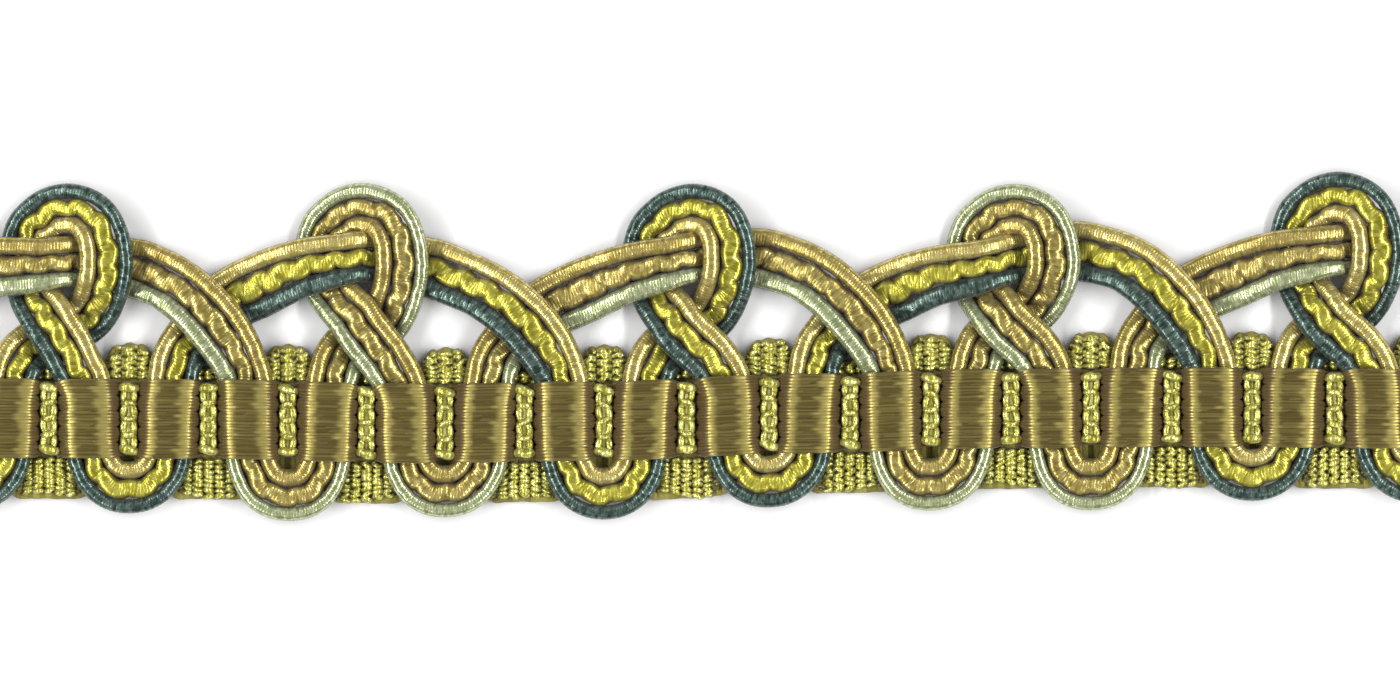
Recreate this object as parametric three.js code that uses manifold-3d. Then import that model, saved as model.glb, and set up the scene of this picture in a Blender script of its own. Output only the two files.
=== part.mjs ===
import * as THREE from 'three';
import Module from 'manifold-3d';

// Millimetres. X runs along the braid, Y up its face and Z off the table it lies on.
// Y = 0 is the middle of the satin band over the cords' legs.

const CUT_LEFT = -3.3;
const CUT_RIGHT = 141.5;

// Cords.
const SMOOTH_RADIUS = 0.62;
const WAVE_RADIUS = 0.58;
const ROUND_RADIUS = 0.56;
const WAVE_REACH = 0.15;
const WAVE_LENGTH = 2.9;
const SMOOTH_SIDES = 6;
const WAVE_SIDES = 5;
const RING_TOLERANCE = 0.08;
const RING_TURN = 35 * Math.PI / 180;
const PATH_STEP = 0.1;
const END_STEPS = 5;
const SPAN_STEPS = 30;
const LOWEST_CORD = 0.62;

// Heading: a woven slab, ribs of weft over it and a band of satin warp between the two.
const SLAB_HEIGHT = 1.0;
const SLAB_FOOT = -7.9;
const SLAB_FOOT_UNDER_TURN = -6.2;
const SLAB_TOP = 4.2;
const SLAB_TOP_IN_TURN = 7.0;
const SLAB_STEP = 2.7;
const SLAB_TOP_EASE = { half: 2.2, over: 1.4 };
const SLAB_FOOT_EASE = { half: 2.4, over: 2.6 };
const COLUMN_SHIFT = 0.2;

const SATIN_THICKNESS = 0.3;
const SATIN_CLEARANCE = 0.42;
const SATIN_REST = 1.35;
const SATIN_EDGE = 3.0;
const SATIN_HOLD = 3.0;
const SATIN_STEP = 0.05;
const SATIN_TOLERANCE = 0.12;

const RIB_UNDERSIDE = 2.15;
const RIB_TOP = 2.7;
const RIB_TIE_RISE = 0.25;
const RIB_HALF_UNDERSIDE = 0.3;
const RIB_HALF_TOP = 0.42;
const RIB_TIE_BULGE = 0.08;
const RIB_TIE_PITCH = 1.5;
const RIB_ROOT = 0.8;
const RIB_FOOT_IN_TURN = -3.93;
const RIB_TOP_IN_TURN = 6.9;
const RIB_FOOT_BETWEEN = -7.6;
const RIB_TOP_BETWEEN = 3.6;
const ROOT_SLACK = 0.02;
const ROOT_LAP = 0.2;

// Where each U-turn of the cords is centred, how far its foot drops below the
// turn's own rows, and how the braid as a whole lies off a straight line.
const TURNS = table('x drop', [
  [-3.3, 0], [12.7, 0.05], [28.6, 0.65], [44.3, 0], [60.2, 0.45],
  [76.7, -0.05], [92.9, 0.65], [108.9, 0.85], [125.0, -0.05], [141.5, 0],
]);
const LIE = table('x y', [
  [-6, 0], [20, -0.1], [42, -0.55], [60, -0.3], [80, 0.45], [100, 0.95], [118, 1.08], [146, 0.9],
]);

// Sections of a band along its travel, from left to right. x and y place the
// crinkled cord, z its height. The smooth cord runs inner to the left of travel
// and the round cord outer to the right.
const SECTION = 'x y z inner outer';
const TURN = table(SECTION, [
  [-3.85, 2.0, 2.0, 1.7, 1.75],
  [-3.8, -1.0, 2.0, 1.7, 1.75],
  [-3.7, -3.2, 2.0, 1.7, 1.7],
  [-3.2, -4.8, 1.95, 1.8, 1.7],
  [-2.35, -6.05, 1.95, 1.85, 1.7],
  [-1.15, -6.8, 1.95, 1.9, 1.7],
  [0.15, -7.0, 1.95, 1.9, 1.7],
  [1.5, -6.8, 1.95, 1.9, 1.7],
  [2.75, -6.05, 1.95, 1.85, 1.7],
  [3.65, -4.8, 1.95, 1.8, 1.7],
  [4.15, -3.2, 2.0, 1.75, 1.7],
  [4.25, -1.0, 2.0, 1.75, 1.7],
  [4.4, 2.0, 2.0, 1.8, 1.7],
]);
const TURN_FOOT = 6;
const DROP_EASE = { below: -2.5, over: 3.5 };
const CURL = table(SECTION, [
  [-3.2, 4.1, 2.0, 1.85, 1.65],
  [-2.95, 5.3, 1.85, 1.8, 1.75],
  [-2.5, 6.45, 1.25, 1.8, 1.8],
  [-1.7, 7.45, 0.65, 1.8, 1.8],
  [-0.6, 8.3, 0.7, 1.8, 1.8],
  [0.65, 9.05, 0.65, 1.85, 1.75],
  [1.85, 9.9, 0.65, 1.9, 1.7],
  [2.7, 11.05, 1.25, 2.0, 1.65],
  [3.3, 12.4, 1.95, 2.05, 1.65],
  [3.75, 13.9, 2.5, 2.1, 1.65],
  [3.98, 15.3, 2.8, 2.15, 1.65],
  [4.0, 16.8, 2.85, 2.15, 1.6],
  [3.65, 18.55, 2.75, 2.05, 1.6],
  [2.8, 20.1, 2.5, 1.9, 1.7],
  [1.5, 21.15, 2.1, 1.75, 1.7],
  [-0.25, 21.45, 1.65, 1.65, 1.75],
  [-1.9, 21.2, 1.2, 1.7, 1.7],
  [-3.05, 20.45, 0.95, 1.85, 1.7],
  [-4.15, 19.45, 0.8, 1.6, 1.6],
  [-4.7, 17.85, 0.7, 1.65, 1.6],
  [-4.75, 16.05, 0.7, 1.65, 1.65],
  [-4.35, 14.35, 0.65, 1.65, 1.7],
  [-3.55, 13.15, 0.8, 1.65, 1.7],
  [-2.65, 12.15, 1.4, 1.65, 1.75],
  [-1.25, 10.55, 2.2, 1.95, 1.75],
  [-0.15, 9.05, 2.75, 1.95, 1.8],
  [1.05, 7.6, 2.7, 1.95, 1.8],
  [2.25, 6.15, 2.7, 1.9, 1.8],
  [3.1, 4.85, 2.4, 1.85, 1.75],
  [3.65, 3.8, 2.1, 1.8, 1.75],
]);
const CURL_RISING = 15;
// Where up the face each difference between curls sets in, and how softly.
const CURL_EASE = {
  spread: { below: 9, over: 5 },
  lean: { above: 5, over: 6 },
  leg: { above: 5, over: 4 },
  top: { above: 10, over: 5 },
  rise: { above: 9, over: 9 },
  early: { at: 13.6, wide: 1.2 },
  late: { at: 11.8, wide: 1.6 },
};
const ARC = table(SECTION, [
  [-18.95, 4.1, 2.0, 1.85, 1.65],
  [-18.8, 5.4, 1.85, 1.8, 1.75],
  [-18.35, 6.7, 1.45, 1.75, 1.8],
  [-17.6, 7.95, 1.0, 1.7, 1.85],
  [-16.4, 9.5, 0.75, 1.8, 1.95],
  [-14.65, 11.2, 0.65, 2.0, 2.1],
  [-12.45, 12.65, 0.65, 2.2, 2.3],
  [-10.45, 13.6, 0.9, 2.25, 2.35],
  [-8.45, 14.45, 1.65, 2.2, 2.2],
  [-6.45, 15.25, 2.25, 2.05, 2.05],
  [-4.45, 15.85, 2.4, 1.9, 2.0],
  [-2.45, 16.25, 2.6, 1.75, 1.85],
  [-0.45, 16.55, 2.3, 1.7, 1.75],
  [1.55, 16.6, 1.1, 1.75, 1.75],
  [3.55, 16.35, 0.7, 1.9, 1.8],
  [5.55, 15.8, 0.75, 2.05, 1.85],
  [7.55, 15.15, 0.85, 2.25, 1.9],
  [9.55, 14.2, 1.3, 2.3, 1.85],
  [11.55, 13.3, 1.95, 2.25, 1.85],
  [13.55, 12.2, 2.45, 2.15, 2.0],
  [15.55, 10.75, 2.7, 2.0, 2.2],
  [17.15, 9.2, 2.85, 1.9, 2.3],
  [18.35, 7.65, 2.75, 1.75, 2.25],
  [19.2, 6.15, 2.7, 1.65, 2.1],
  [19.65, 5.05, 2.3, 1.6, 1.95],
  [19.9, 3.9, 2.05, 1.65, 1.85],
]);

// The curls differ: lean of the top and of the leg, rise of the top, and how much
// higher the rising side and lower the falling side runs where the arc passes.
const CURLS = table('turn lean leg rise early late', [
  [0, 2.3, 0.8, -0.45, 0.5, 0.05],
  [2, 0.1, 0, 0, -0.3, -0.45],
  [4, 0.85, -0.45, -0.55, 0.5, 0.2],
  [6, 0.8, -0.8, -1.5, 0.35, 0.75],
  [8, 0.9, -0.8, -0.3, 0.45, 0.45],
]);

// The arcs differ: from which turn to which (a turn past an end is off the cut),
// lift left, in the middle and right, and how far the crest slides along.
const ARCS = table('from to left middle right slide', [
  [-1, 2, 0, -1.05, 0.45, 1.6],
  [1, 4, 0, 0, 0, -0.5],
  [3, 6, -0.7, -0.7, 0.65, 0.4],
  [5, 8, -1.2, -2.0, 0.9, -0.75],
  [7, 10, -0.9, -0.9, 0.5, 1.0],
]);
const TURN_PITCH = 16;
const ARC_HALF = 23.75;
const ARC_SPAN = 47.5;
const ARC_KNOTS = { start: -20, left: -11, middle: -2, right: 12, end: 20 };
const ARC_FALL = 0.042;
const ARC_CREST = 0.5;
const SLIDE_EASE = { above: -14, below: 12, over: 5 };
const BAND_B_FIRST = 2;
const BAND_B_LAST = 7;

const COLOURS = {
  ground_tape: [0xb3a63c, 0.85],
  satin_warp: [0xa98a4a, 0.5],
  cord_gold_a: [0xc2a561, 0.6],
  cord_wave_a: [0xc0b440, 0.75],
  cord_teal_a: [0x3a4f52, 0.6],
  cord_olive_b: [0xa88d50, 0.6],
  cord_wave_b: [0xb08f44, 0.75],
  cord_sage_b: [0xa3a883, 0.6],
};

function table(columns, rows) {
  const names = columns.split(' ');
  return rows.map((row) => Object.fromEntries(row.map((value, i) => [names[i], value])));
}

function smooth(t) {
  const c = Math.min(1, Math.max(0, t));
  return c * c * (3 - 2 * c);
}

const risen = (value, { above, over }) => smooth((value - above) / over);

const fallen = (value, { below, over }) => smooth((below - value) / over);

const bell = (value, { at, wide }) => Math.exp(-(((value - at) / wide) ** 2));

const within = (away, { half, over }) => 1 - smooth((away - half) / over);

function eased(knots, x) {
  const last = knots.length - 2;
  let i = 0;
  while (i < last && x > knots[i + 1].x) {
    i += 1;
  }
  const a = knots[i];
  const b = knots[i + 1];
  return a.y + (b.y - a.y) * smooth((x - a.x) / (b.x - a.x));
}

const lie = (x) => eased(LIE, x);

function turnX(index) {
  if (index < 0) {
    return TURNS[BAND_B_FIRST].x - ARC_SPAN;
  }
  if (index >= TURNS.length) {
    return TURNS[BAND_B_LAST].x + ARC_SPAN;
  }
  return TURNS[index].x;
}

function turnSections(index, from = 0, to = TURN.length) {
  const { x, drop } = TURNS[index];
  return TURN.slice(from, to).map((s) => ({
    ...s,
    x: x + s.x,
    y: s.y - drop * fallen(s.y, DROP_EASE),
  }));
}

function curlSections(index) {
  const shape = CURLS.find((c) => c.turn === index);
  const middle = (turnX(index) + turnX(index + 1)) / 2;
  const spread = (turnX(index + 1) - turnX(index) - TURN_PITCH) / 2;
  return CURL.map((s, i) => {
    const rising = i < CURL_RISING;
    const outward = spread * fallen(s.y, CURL_EASE.spread) * (rising ? -1 : 1);
    const lean = rising
      ? shape.lean * risen(s.y, CURL_EASE.lean)
      : shape.leg * risen(s.y, CURL_EASE.leg) + (shape.lean - shape.leg) * risen(s.y, CURL_EASE.top);
    const pass = rising
      ? shape.early * bell(s.y, CURL_EASE.early)
      : -shape.late * bell(s.y, CURL_EASE.late);
    return {
      ...s,
      x: middle + s.x + outward + lean,
      y: s.y + shape.rise * risen(s.y, CURL_EASE.rise),
      z: s.z + pass,
    };
  });
}

function arcSections(from) {
  const shape = ARCS.find((a) => a.from === from);
  const start = turnX(from);
  const end = turnX(shape.to);
  const lifts = [
    { x: ARC_KNOTS.start, y: 0 },
    { x: ARC_KNOTS.left, y: shape.left },
    { x: ARC_KNOTS.middle, y: shape.middle },
    { x: ARC_KNOTS.right, y: shape.right },
    { x: ARC_KNOTS.end, y: 0 },
  ];
  const stretch = ((end - start) / 2 - ARC_HALF) / ARC_KNOTS.end;
  return ARC.map((s) => {
    const slide = shape.slide * risen(s.x, SLIDE_EASE) * fallen(s.x, SLIDE_EASE);
    return {
      ...s,
      x: (start + end) / 2 + s.x * (1 + stretch) + slide,
      y: s.y + eased(lifts, s.x) - ARC_FALL * (s.x - ARC_CREST) * slide,
    };
  });
}

// Band A turns at 0, 1, 4, 5, 8 and 9, band B at 2, 3, 6 and 7. After a turn each
// band makes a curl if the next turn is its own, else an arc over the other's curl.
function bandA() {
  return [
    ...turnSections(0, TURN_FOOT), ...curlSections(0), ...turnSections(1), ...arcSections(1),
    ...turnSections(4), ...curlSections(4), ...turnSections(5), ...arcSections(5),
    ...turnSections(8), ...curlSections(8), ...turnSections(9, 0, TURN_FOOT + 1),
  ];
}

function bandB() {
  return [
    ...arcSections(-1), ...turnSections(2), ...curlSections(2), ...turnSections(3), ...arcSections(3),
    ...turnSections(6), ...curlSections(6), ...turnSections(7), ...arcSections(7),
  ];
}

const COLUMNS = ['x', 'y', 'z', 'inner', 'outer'];

function blend(a, b, t) {
  return Object.fromEntries(COLUMNS.map((c) => [c, a[c] + (b[c] - a[c]) * t]));
}

function apart(a, b) {
  return Math.hypot(a.x - b.x, a.y - b.y, a.z - b.z);
}

// A smooth run through the sections, each span eased by the root of its length.
function run(sections) {
  const n = sections.length;
  const ends = [blend(sections[1], sections[0], 2), ...sections, blend(sections[n - 2], sections[n - 1], 2)];
  const points = [];
  for (let i = 1; i < n; i += 1) {
    const [p0, p1, p2, p3] = ends.slice(i - 1, i + 3);
    const d0 = Math.sqrt(apart(p0, p1));
    const d1 = Math.sqrt(apart(p1, p2));
    const d2 = Math.sqrt(apart(p2, p3));
    for (let k = 0; k < SPAN_STEPS; k += 1) {
      const t = k / SPAN_STEPS;
      points.push(Object.fromEntries(COLUMNS.map((c) => {
        const m1 = ((p1[c] - p0[c]) / d0 - (p2[c] - p0[c]) / (d0 + d1) + (p2[c] - p1[c]) / d1) * d1;
        const m2 = ((p2[c] - p1[c]) / d1 - (p3[c] - p1[c]) / (d1 + d2) + (p3[c] - p2[c]) / d2) * d1;
        const square = -3 * p1[c] + 3 * p2[c] - 2 * m1 - m2;
        const cube = 2 * p1[c] - 2 * p2[c] + m1 + m2;
        return [c, p1[c] + m1 * t + square * t * t + cube * t * t * t];
      })));
    }
  }
  points.push(sections[n - 1]);
  return points;
}

// The run between the two cuts, at even steps, with its distance s and the unit
// vector left to the left of travel.
function route(sections) {
  const kept = run(sections).filter((p) => p.x >= CUT_LEFT && p.x <= CUT_RIGHT);
  const lengths = [0];
  for (let i = 1; i < kept.length; i += 1) {
    lengths.push(lengths[i - 1] + apart(kept[i - 1], kept[i]));
  }
  const total = lengths[lengths.length - 1];
  const count = Math.round(total / PATH_STEP);
  const points = [];
  let i = 0;
  for (let k = 0; k <= count; k += 1) {
    const s = total * k / count;
    while (i < kept.length - 2 && lengths[i + 1] < s) {
      i += 1;
    }
    const p = blend(kept[i], kept[i + 1], (s - lengths[i]) / (lengths[i + 1] - lengths[i]));
    points.push({ ...p, y: p.y + lie(p.x), z: Math.max(p.z, LOWEST_CORD), s });
  }
  return points.map((p, k) => {
    const a = points[Math.max(0, k - 1)];
    const b = points[Math.min(count, k + 1)];
    const length = Math.hypot(b.x - a.x, b.y - a.y);
    return { ...p, left: [-(b.y - a.y) / length, (b.x - a.x) / length] };
  });
}

function besides(path, distance) {
  return path.map((p) => {
    const d = distance(p);
    return new THREE.Vector3(p.x + p.left[0] * d, p.y + p.left[1] * d, p.z);
  });
}

function cordLines(path) {
  return {
    smooth: besides(path, (p) => p.inner),
    wave: besides(path, (p) => WAVE_REACH * Math.sin(2 * Math.PI * p.s / WAVE_LENGTH)),
    round: besides(path, (p) => -p.outer),
  };
}

function tangent(line, i) {
  const a = line[Math.max(0, i - 1)];
  const b = line[Math.min(line.length - 1, i + 1)];
  return b.clone().sub(a).normalize();
}

// A smooth cord needs a ring only where a straight run would leave its line by
// more than a tolerance, or turn too far.
function ringsByTurn(line) {
  const rings = [0];
  let from = 0;
  while (from < line.length - 1) {
    const fits = (end) => {
      const chord = new THREE.Line3(line[from], line[end]);
      const nearestPoint = new THREE.Vector3();
      const turned = tangent(line, from).angleTo(tangent(line, end));
      return turned <= RING_TURN && line.slice(from + 1, end).every((p) => (
        chord.closestPointToPoint(p, true, nearestPoint).distanceTo(p) <= RING_TOLERANCE));
    };
    let to = from + 1;
    while (to + 1 < line.length && fits(to + 1)) {
      to += 1;
    }
    rings.push(to);
    from = to;
  }
  return rings;
}

// A crinkled cord has a ring at each crest and hollow.
function ringsByWave(path) {
  const half = WAVE_LENGTH / 2;
  const rings = [0];
  path.forEach((p, i) => {
    const phase = p.s / half - 0.5;
    const before = (p.s - PATH_STEP) / half - 0.5;
    if (i >= END_STEPS && i < path.length - END_STEPS && Math.floor(phase) > Math.floor(before)) {
      rings.push(i);
    }
  });
  rings.push(path.length - 1);
  return rings;
}

function loft(rings) {
  const sides = rings[0].length;
  const vertices = rings.flat().flatMap((v) => [v.x, v.y, v.z]);
  const index = [];
  for (let r = 0; r < rings.length - 1; r += 1) {
    for (let k = 0; k < sides; k += 1) {
      const a = r * sides + k;
      const b = r * sides + (k + 1) % sides;
      index.push(a, b, b + sides, a, b + sides, a + sides);
    }
  }
  const last = (rings.length - 1) * sides;
  for (let k = 1; k < sides - 1; k += 1) {
    index.push(0, k + 1, k);
    index.push(last, last + k, last + k + 1);
  }
  const geometry = new THREE.BufferGeometry();
  geometry.setAttribute('position', new THREE.Float32BufferAttribute(vertices, 3));
  geometry.setIndex(index);
  return geometry;
}

function cord(line, rings, radius, sides = SMOOTH_SIDES) {
  return loft(rings.map((i) => {
    const along = tangent(line, i);
    const left = new THREE.Vector3(-along.y, along.x, 0).normalize();
    const up = along.clone().cross(left);
    return Array.from({ length: sides }, (_, k) => {
      const angle = 2 * Math.PI * k / sides;
      return line[i].clone()
        .addScaledVector(left, radius * Math.cos(angle))
        .addScaledVector(up, radius * Math.sin(angle));
    });
  }));
}

// Columns of weft ribs stand inside each turn and between each two.
function columns() {
  const inside = TURNS.map((t) => ({
    x: t.x + COLUMN_SHIFT, foot: RIB_FOOT_IN_TURN - t.drop, top: RIB_TOP_IN_TURN,
  }));
  const between = TURNS.slice(1).map((t, i) => ({
    x: (t.x + TURNS[i].x) / 2 + COLUMN_SHIFT, foot: RIB_FOOT_BETWEEN, top: RIB_TOP_BETWEEN,
  }));
  return [...inside, ...between].sort((a, b) => a.x - b.x);
}

const COLUMN_ROWS = columns();

function nearest(rows, x) {
  return rows.reduce((a, b) => (Math.abs(b.x - x) < Math.abs(a.x - x) ? b : a));
}

function slabEdge(x) {
  const away = Math.abs(x - nearest(TURNS, x).x - COLUMN_SHIFT);
  return {
    top: SLAB_TOP + (SLAB_TOP_IN_TURN - SLAB_TOP) * within(away, SLAB_TOP_EASE),
    foot: SLAB_FOOT + (SLAB_FOOT_UNDER_TURN - SLAB_FOOT) * within(away, SLAB_FOOT_EASE),
  };
}

function even(from, to, step) {
  const count = Math.ceil((to - from) / step);
  return Array.from({ length: count + 1 }, (_, i) => from + (to - from) * i / count);
}

function bar(xs, box) {
  return loft(xs.map((x) => {
    const { foot, top, low, high } = box(x);
    return [[foot, low], [top, low], [top, high], [foot, high]]
      .map(([y, z]) => new THREE.Vector3(x, y + lie(x), z));
  }));
}

function slab() {
  return bar(even(CUT_LEFT, CUT_RIGHT, SLAB_STEP), (x) => ({ ...slabEdge(x), low: 0, high: SLAB_HEIGHT }));
}

// A rib swells at each tie of the weft. Its ends stand on the slab past the satin.
function rib(column) {
  const steps = Math.max(2, Math.round((column.top - column.foot) / (RIB_TIE_PITCH / 2)));
  const ys = even(column.foot, column.top, (column.top - column.foot) / steps);
  const away = lie(column.x);
  return loft(ys.map((y, i) => {
    const tie = i % 2 === 0 ? 1 : 0;
    const wide = RIB_HALF_TOP + RIB_TIE_BULGE * tie;
    const high = RIB_TOP + RIB_TIE_RISE * tie;
    return [[-RIB_HALF_UNDERSIDE, RIB_UNDERSIDE], [-wide, high], [wide, high], [RIB_HALF_UNDERSIDE, RIB_UNDERSIDE]]
      .map(([x, z]) => new THREE.Vector3(column.x + x, y + away, z));
  }));
}

// What joins a rib to the slab, from within the slab to within the rib.
function ribRoot(column, foot, top) {
  const width = 2 * (RIB_HALF_UNDERSIDE - ROOT_SLACK);
  const height = RIB_UNDERSIDE + ROOT_LAP - RIB_ROOT;
  const box = new THREE.BoxGeometry(width, top - foot, height);
  return box.translate(column.x, (foot + top) / 2 + lie(column.x), RIB_ROOT + height / 2);
}

// Height of a sheet that lies over the cords at a distance from their middles.
function drape(cords, x, distance, rest) {
  let height = rest;
  for (const { points, radius } of cords) {
    const reach = radius + distance;
    for (const p of points) {
      const away = Math.abs(p.x - x);
      if (away < reach) {
        height = Math.max(height, p.z + Math.sqrt(reach * reach - away * away));
      }
    }
  }
  return height;
}

// The fewest of the rows that keep both heights within a tolerance.
function thinned(rows, tolerance) {
  const kept = [0];
  let from = 0;
  while (from < rows.length - 1) {
    let to = from + 1;
    const fits = (end) => rows.slice(from, end).every((row) => {
      const t = (row.x - rows[from].x) / (rows[end].x - rows[from].x);
      return ['low', 'high'].every((side) => {
        const level = rows[from][side] + (rows[end][side] - rows[from][side]) * t;
        return Math.abs(level - row[side]) <= tolerance;
      });
    });
    while (to + 1 < rows.length && fits(to + 1)) {
      to += 1;
    }
    kept.push(to);
    from = to;
  }
  return kept.map((i) => rows[i]);
}

function satin(lines) {
  const cords = lines.map(({ line, radius }) => ({
    radius,
    points: line.filter((p) => Math.abs(p.y - lie(p.x)) <= SATIN_HOLD),
  }));
  const rows = even(CUT_LEFT, CUT_RIGHT, SATIN_STEP).map((x) => ({
    x,
    low: drape(cords, x, SATIN_CLEARANCE, SATIN_REST),
    high: drape(cords, x, SATIN_CLEARANCE + SATIN_THICKNESS, SATIN_REST + SATIN_THICKNESS),
  }));
  const kept = thinned(rows, SATIN_TOLERANCE);
  const edges = { foot: -SATIN_EDGE, top: SATIN_EDGE };
  return bar(kept.map((row) => row.x), (x) => ({ ...edges, ...kept.find((row) => row.x === x) }));
}

const wasm = await Module();
wasm.setup();

function solid(geometry) {
  const position = geometry.getAttribute('position');
  return new wasm.Manifold(new wasm.Mesh({
    numProp: 3,
    vertProperties: new Float32Array(position.array),
    triVerts: new Uint32Array(geometry.getIndex().array),
  }));
}

function boxSolid(geometry) {
  const { min, max } = new THREE.Box3().setFromBufferAttribute(geometry.getAttribute('position'));
  const size = max.clone().sub(min);
  return wasm.Manifold.cube([size.x, size.y, size.z]).translate([min.x, min.y, min.z]);
}

function ground() {
  let body = solid(slab());
  for (const column of COLUMN_ROWS) {
    body = body.add(solid(rib(column)));
    body = body.add(boxSolid(ribRoot(column, column.foot + ROOT_SLACK, -SATIN_EDGE - SATIN_CLEARANCE)));
    body = body.add(boxSolid(ribRoot(column, SATIN_EDGE + SATIN_CLEARANCE, column.top - ROOT_SLACK)));
  }
  const mesh = body
    .trimByPlane([1, 0, 0], CUT_LEFT)
    .trimByPlane([-1, 0, 0], -CUT_RIGHT)
    .getMesh();
  const geometry = new THREE.BufferGeometry();
  geometry.setAttribute('position', new THREE.BufferAttribute(new Float32Array(mesh.vertProperties), 3));
  geometry.setIndex(Array.from(mesh.triVerts));
  return geometry;
}

function build() {
  const pathA = route(bandA());
  const pathB = route(bandB());
  const linesA = cordLines(pathA);
  const linesB = cordLines(pathB);
  const warpOver = [linesA, linesB].flatMap((lines) => [
    { line: lines.smooth, radius: SMOOTH_RADIUS },
    { line: lines.wave, radius: WAVE_RADIUS },
    { line: lines.round, radius: ROUND_RADIUS },
  ]);
  const geometries = {
    ground_tape: ground(),
    satin_warp: satin(warpOver),
    cord_gold_a: cord(linesA.smooth, ringsByTurn(linesA.smooth), SMOOTH_RADIUS),
    cord_wave_a: cord(linesA.wave, ringsByWave(pathA), WAVE_RADIUS, WAVE_SIDES),
    cord_teal_a: cord(linesA.round, ringsByTurn(linesA.round), ROUND_RADIUS),
    cord_olive_b: cord(linesB.smooth, ringsByTurn(linesB.smooth), SMOOTH_RADIUS),
    cord_wave_b: cord(linesB.wave, ringsByWave(pathB), WAVE_RADIUS, WAVE_SIDES),
    cord_sage_b: cord(linesB.round, ringsByTurn(linesB.round), ROUND_RADIUS),
  };
  const group = new THREE.Group();
  group.name = 'braid_trim';
  for (const [name, geometry] of Object.entries(geometries)) {
    const [color, roughness] = COLOURS[name];
    geometry.computeVertexNormals();
    const mesh = new THREE.Mesh(geometry, new THREE.MeshStandardMaterial({ color, roughness, metalness: 0 }));
    mesh.name = name;
    group.add(mesh);
  }
  const box = new THREE.Box3().setFromObject(group);
  const middle = box.getCenter(new THREE.Vector3());
  for (const mesh of group.children) {
    mesh.geometry.translate(-middle.x, -middle.y, -box.min.z);
  }
  return group;
}

const part = build();

export default part;
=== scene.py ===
"""Decorative braid trim: looped cords in a woven satin heading, lying face up."""

import logging
from dataclasses import dataclass
from enum import Enum

import bpy
import numpy as np
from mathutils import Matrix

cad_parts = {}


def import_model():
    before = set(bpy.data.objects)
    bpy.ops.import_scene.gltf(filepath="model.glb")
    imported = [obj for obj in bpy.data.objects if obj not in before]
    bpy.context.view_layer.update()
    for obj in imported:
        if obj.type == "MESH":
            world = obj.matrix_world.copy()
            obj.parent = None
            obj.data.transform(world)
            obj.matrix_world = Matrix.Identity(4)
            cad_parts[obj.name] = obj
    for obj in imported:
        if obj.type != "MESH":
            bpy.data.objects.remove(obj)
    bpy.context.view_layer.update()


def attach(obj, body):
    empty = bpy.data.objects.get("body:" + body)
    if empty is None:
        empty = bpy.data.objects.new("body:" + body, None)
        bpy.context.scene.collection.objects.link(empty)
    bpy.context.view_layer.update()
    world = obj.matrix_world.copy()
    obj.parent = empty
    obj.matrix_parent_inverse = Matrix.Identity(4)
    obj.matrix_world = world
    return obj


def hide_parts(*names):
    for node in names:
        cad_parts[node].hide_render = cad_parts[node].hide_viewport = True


LOG = logging.getLogger("braid_trim")

# Millimetres in the drawing frame: X along the braid, Y up its face with 0 in the
# middle of the satin band, Z off the table. MIDDLE is the model's own origin there.
MM = 0.001
MIDDLE = np.array([69.16741, 7.15602, 0.0])
CUT_LEFT, CUT_RIGHT = -3.3, 141.5

X, Y, Z, INNER, OUTER = range(5)

# Where each U-turn of the cords is centred, and how far its foot drops.
TURN_ROWS = np.array([
    (-3.3, 0), (12.7, 0.05), (28.6, 0.65), (44.3, 0), (60.2, 0.45),
    (76.7, -0.05), (92.9, 0.65), (108.9, 0.85), (125.0, -0.05), (141.5, 0),
])
LIE = np.array([
    (-6, 0.0), (20, -0.1), (42, -0.55), (60, -0.3),
    (80, 0.45), (100, 0.95), (118, 1.08), (146, 0.9),
])

# Sections of a band along its travel: x and y of the crinkled cord, its height, and
# how far the smooth cord runs to the left of travel and the round cord to the right.
TURN = np.array([
    (-3.85, 2.0, 2.0, 1.7, 1.75),
    (-3.8, -1.0, 2.0, 1.7, 1.75),
    (-3.7, -3.2, 2.0, 1.7, 1.7),
    (-3.2, -4.8, 1.95, 1.8, 1.7),
    (-2.35, -6.05, 1.95, 1.85, 1.7),
    (-1.15, -6.8, 1.95, 1.9, 1.7),
    (0.15, -7.0, 1.95, 1.9, 1.7),
    (1.5, -6.8, 1.95, 1.9, 1.7),
    (2.75, -6.05, 1.95, 1.85, 1.7),
    (3.65, -4.8, 1.95, 1.8, 1.7),
    (4.15, -3.2, 2.0, 1.75, 1.7),
    (4.25, -1.0, 2.0, 1.75, 1.7),
    (4.4, 2.0, 2.0, 1.8, 1.7),
])
TURN_FOOT = 6
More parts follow.
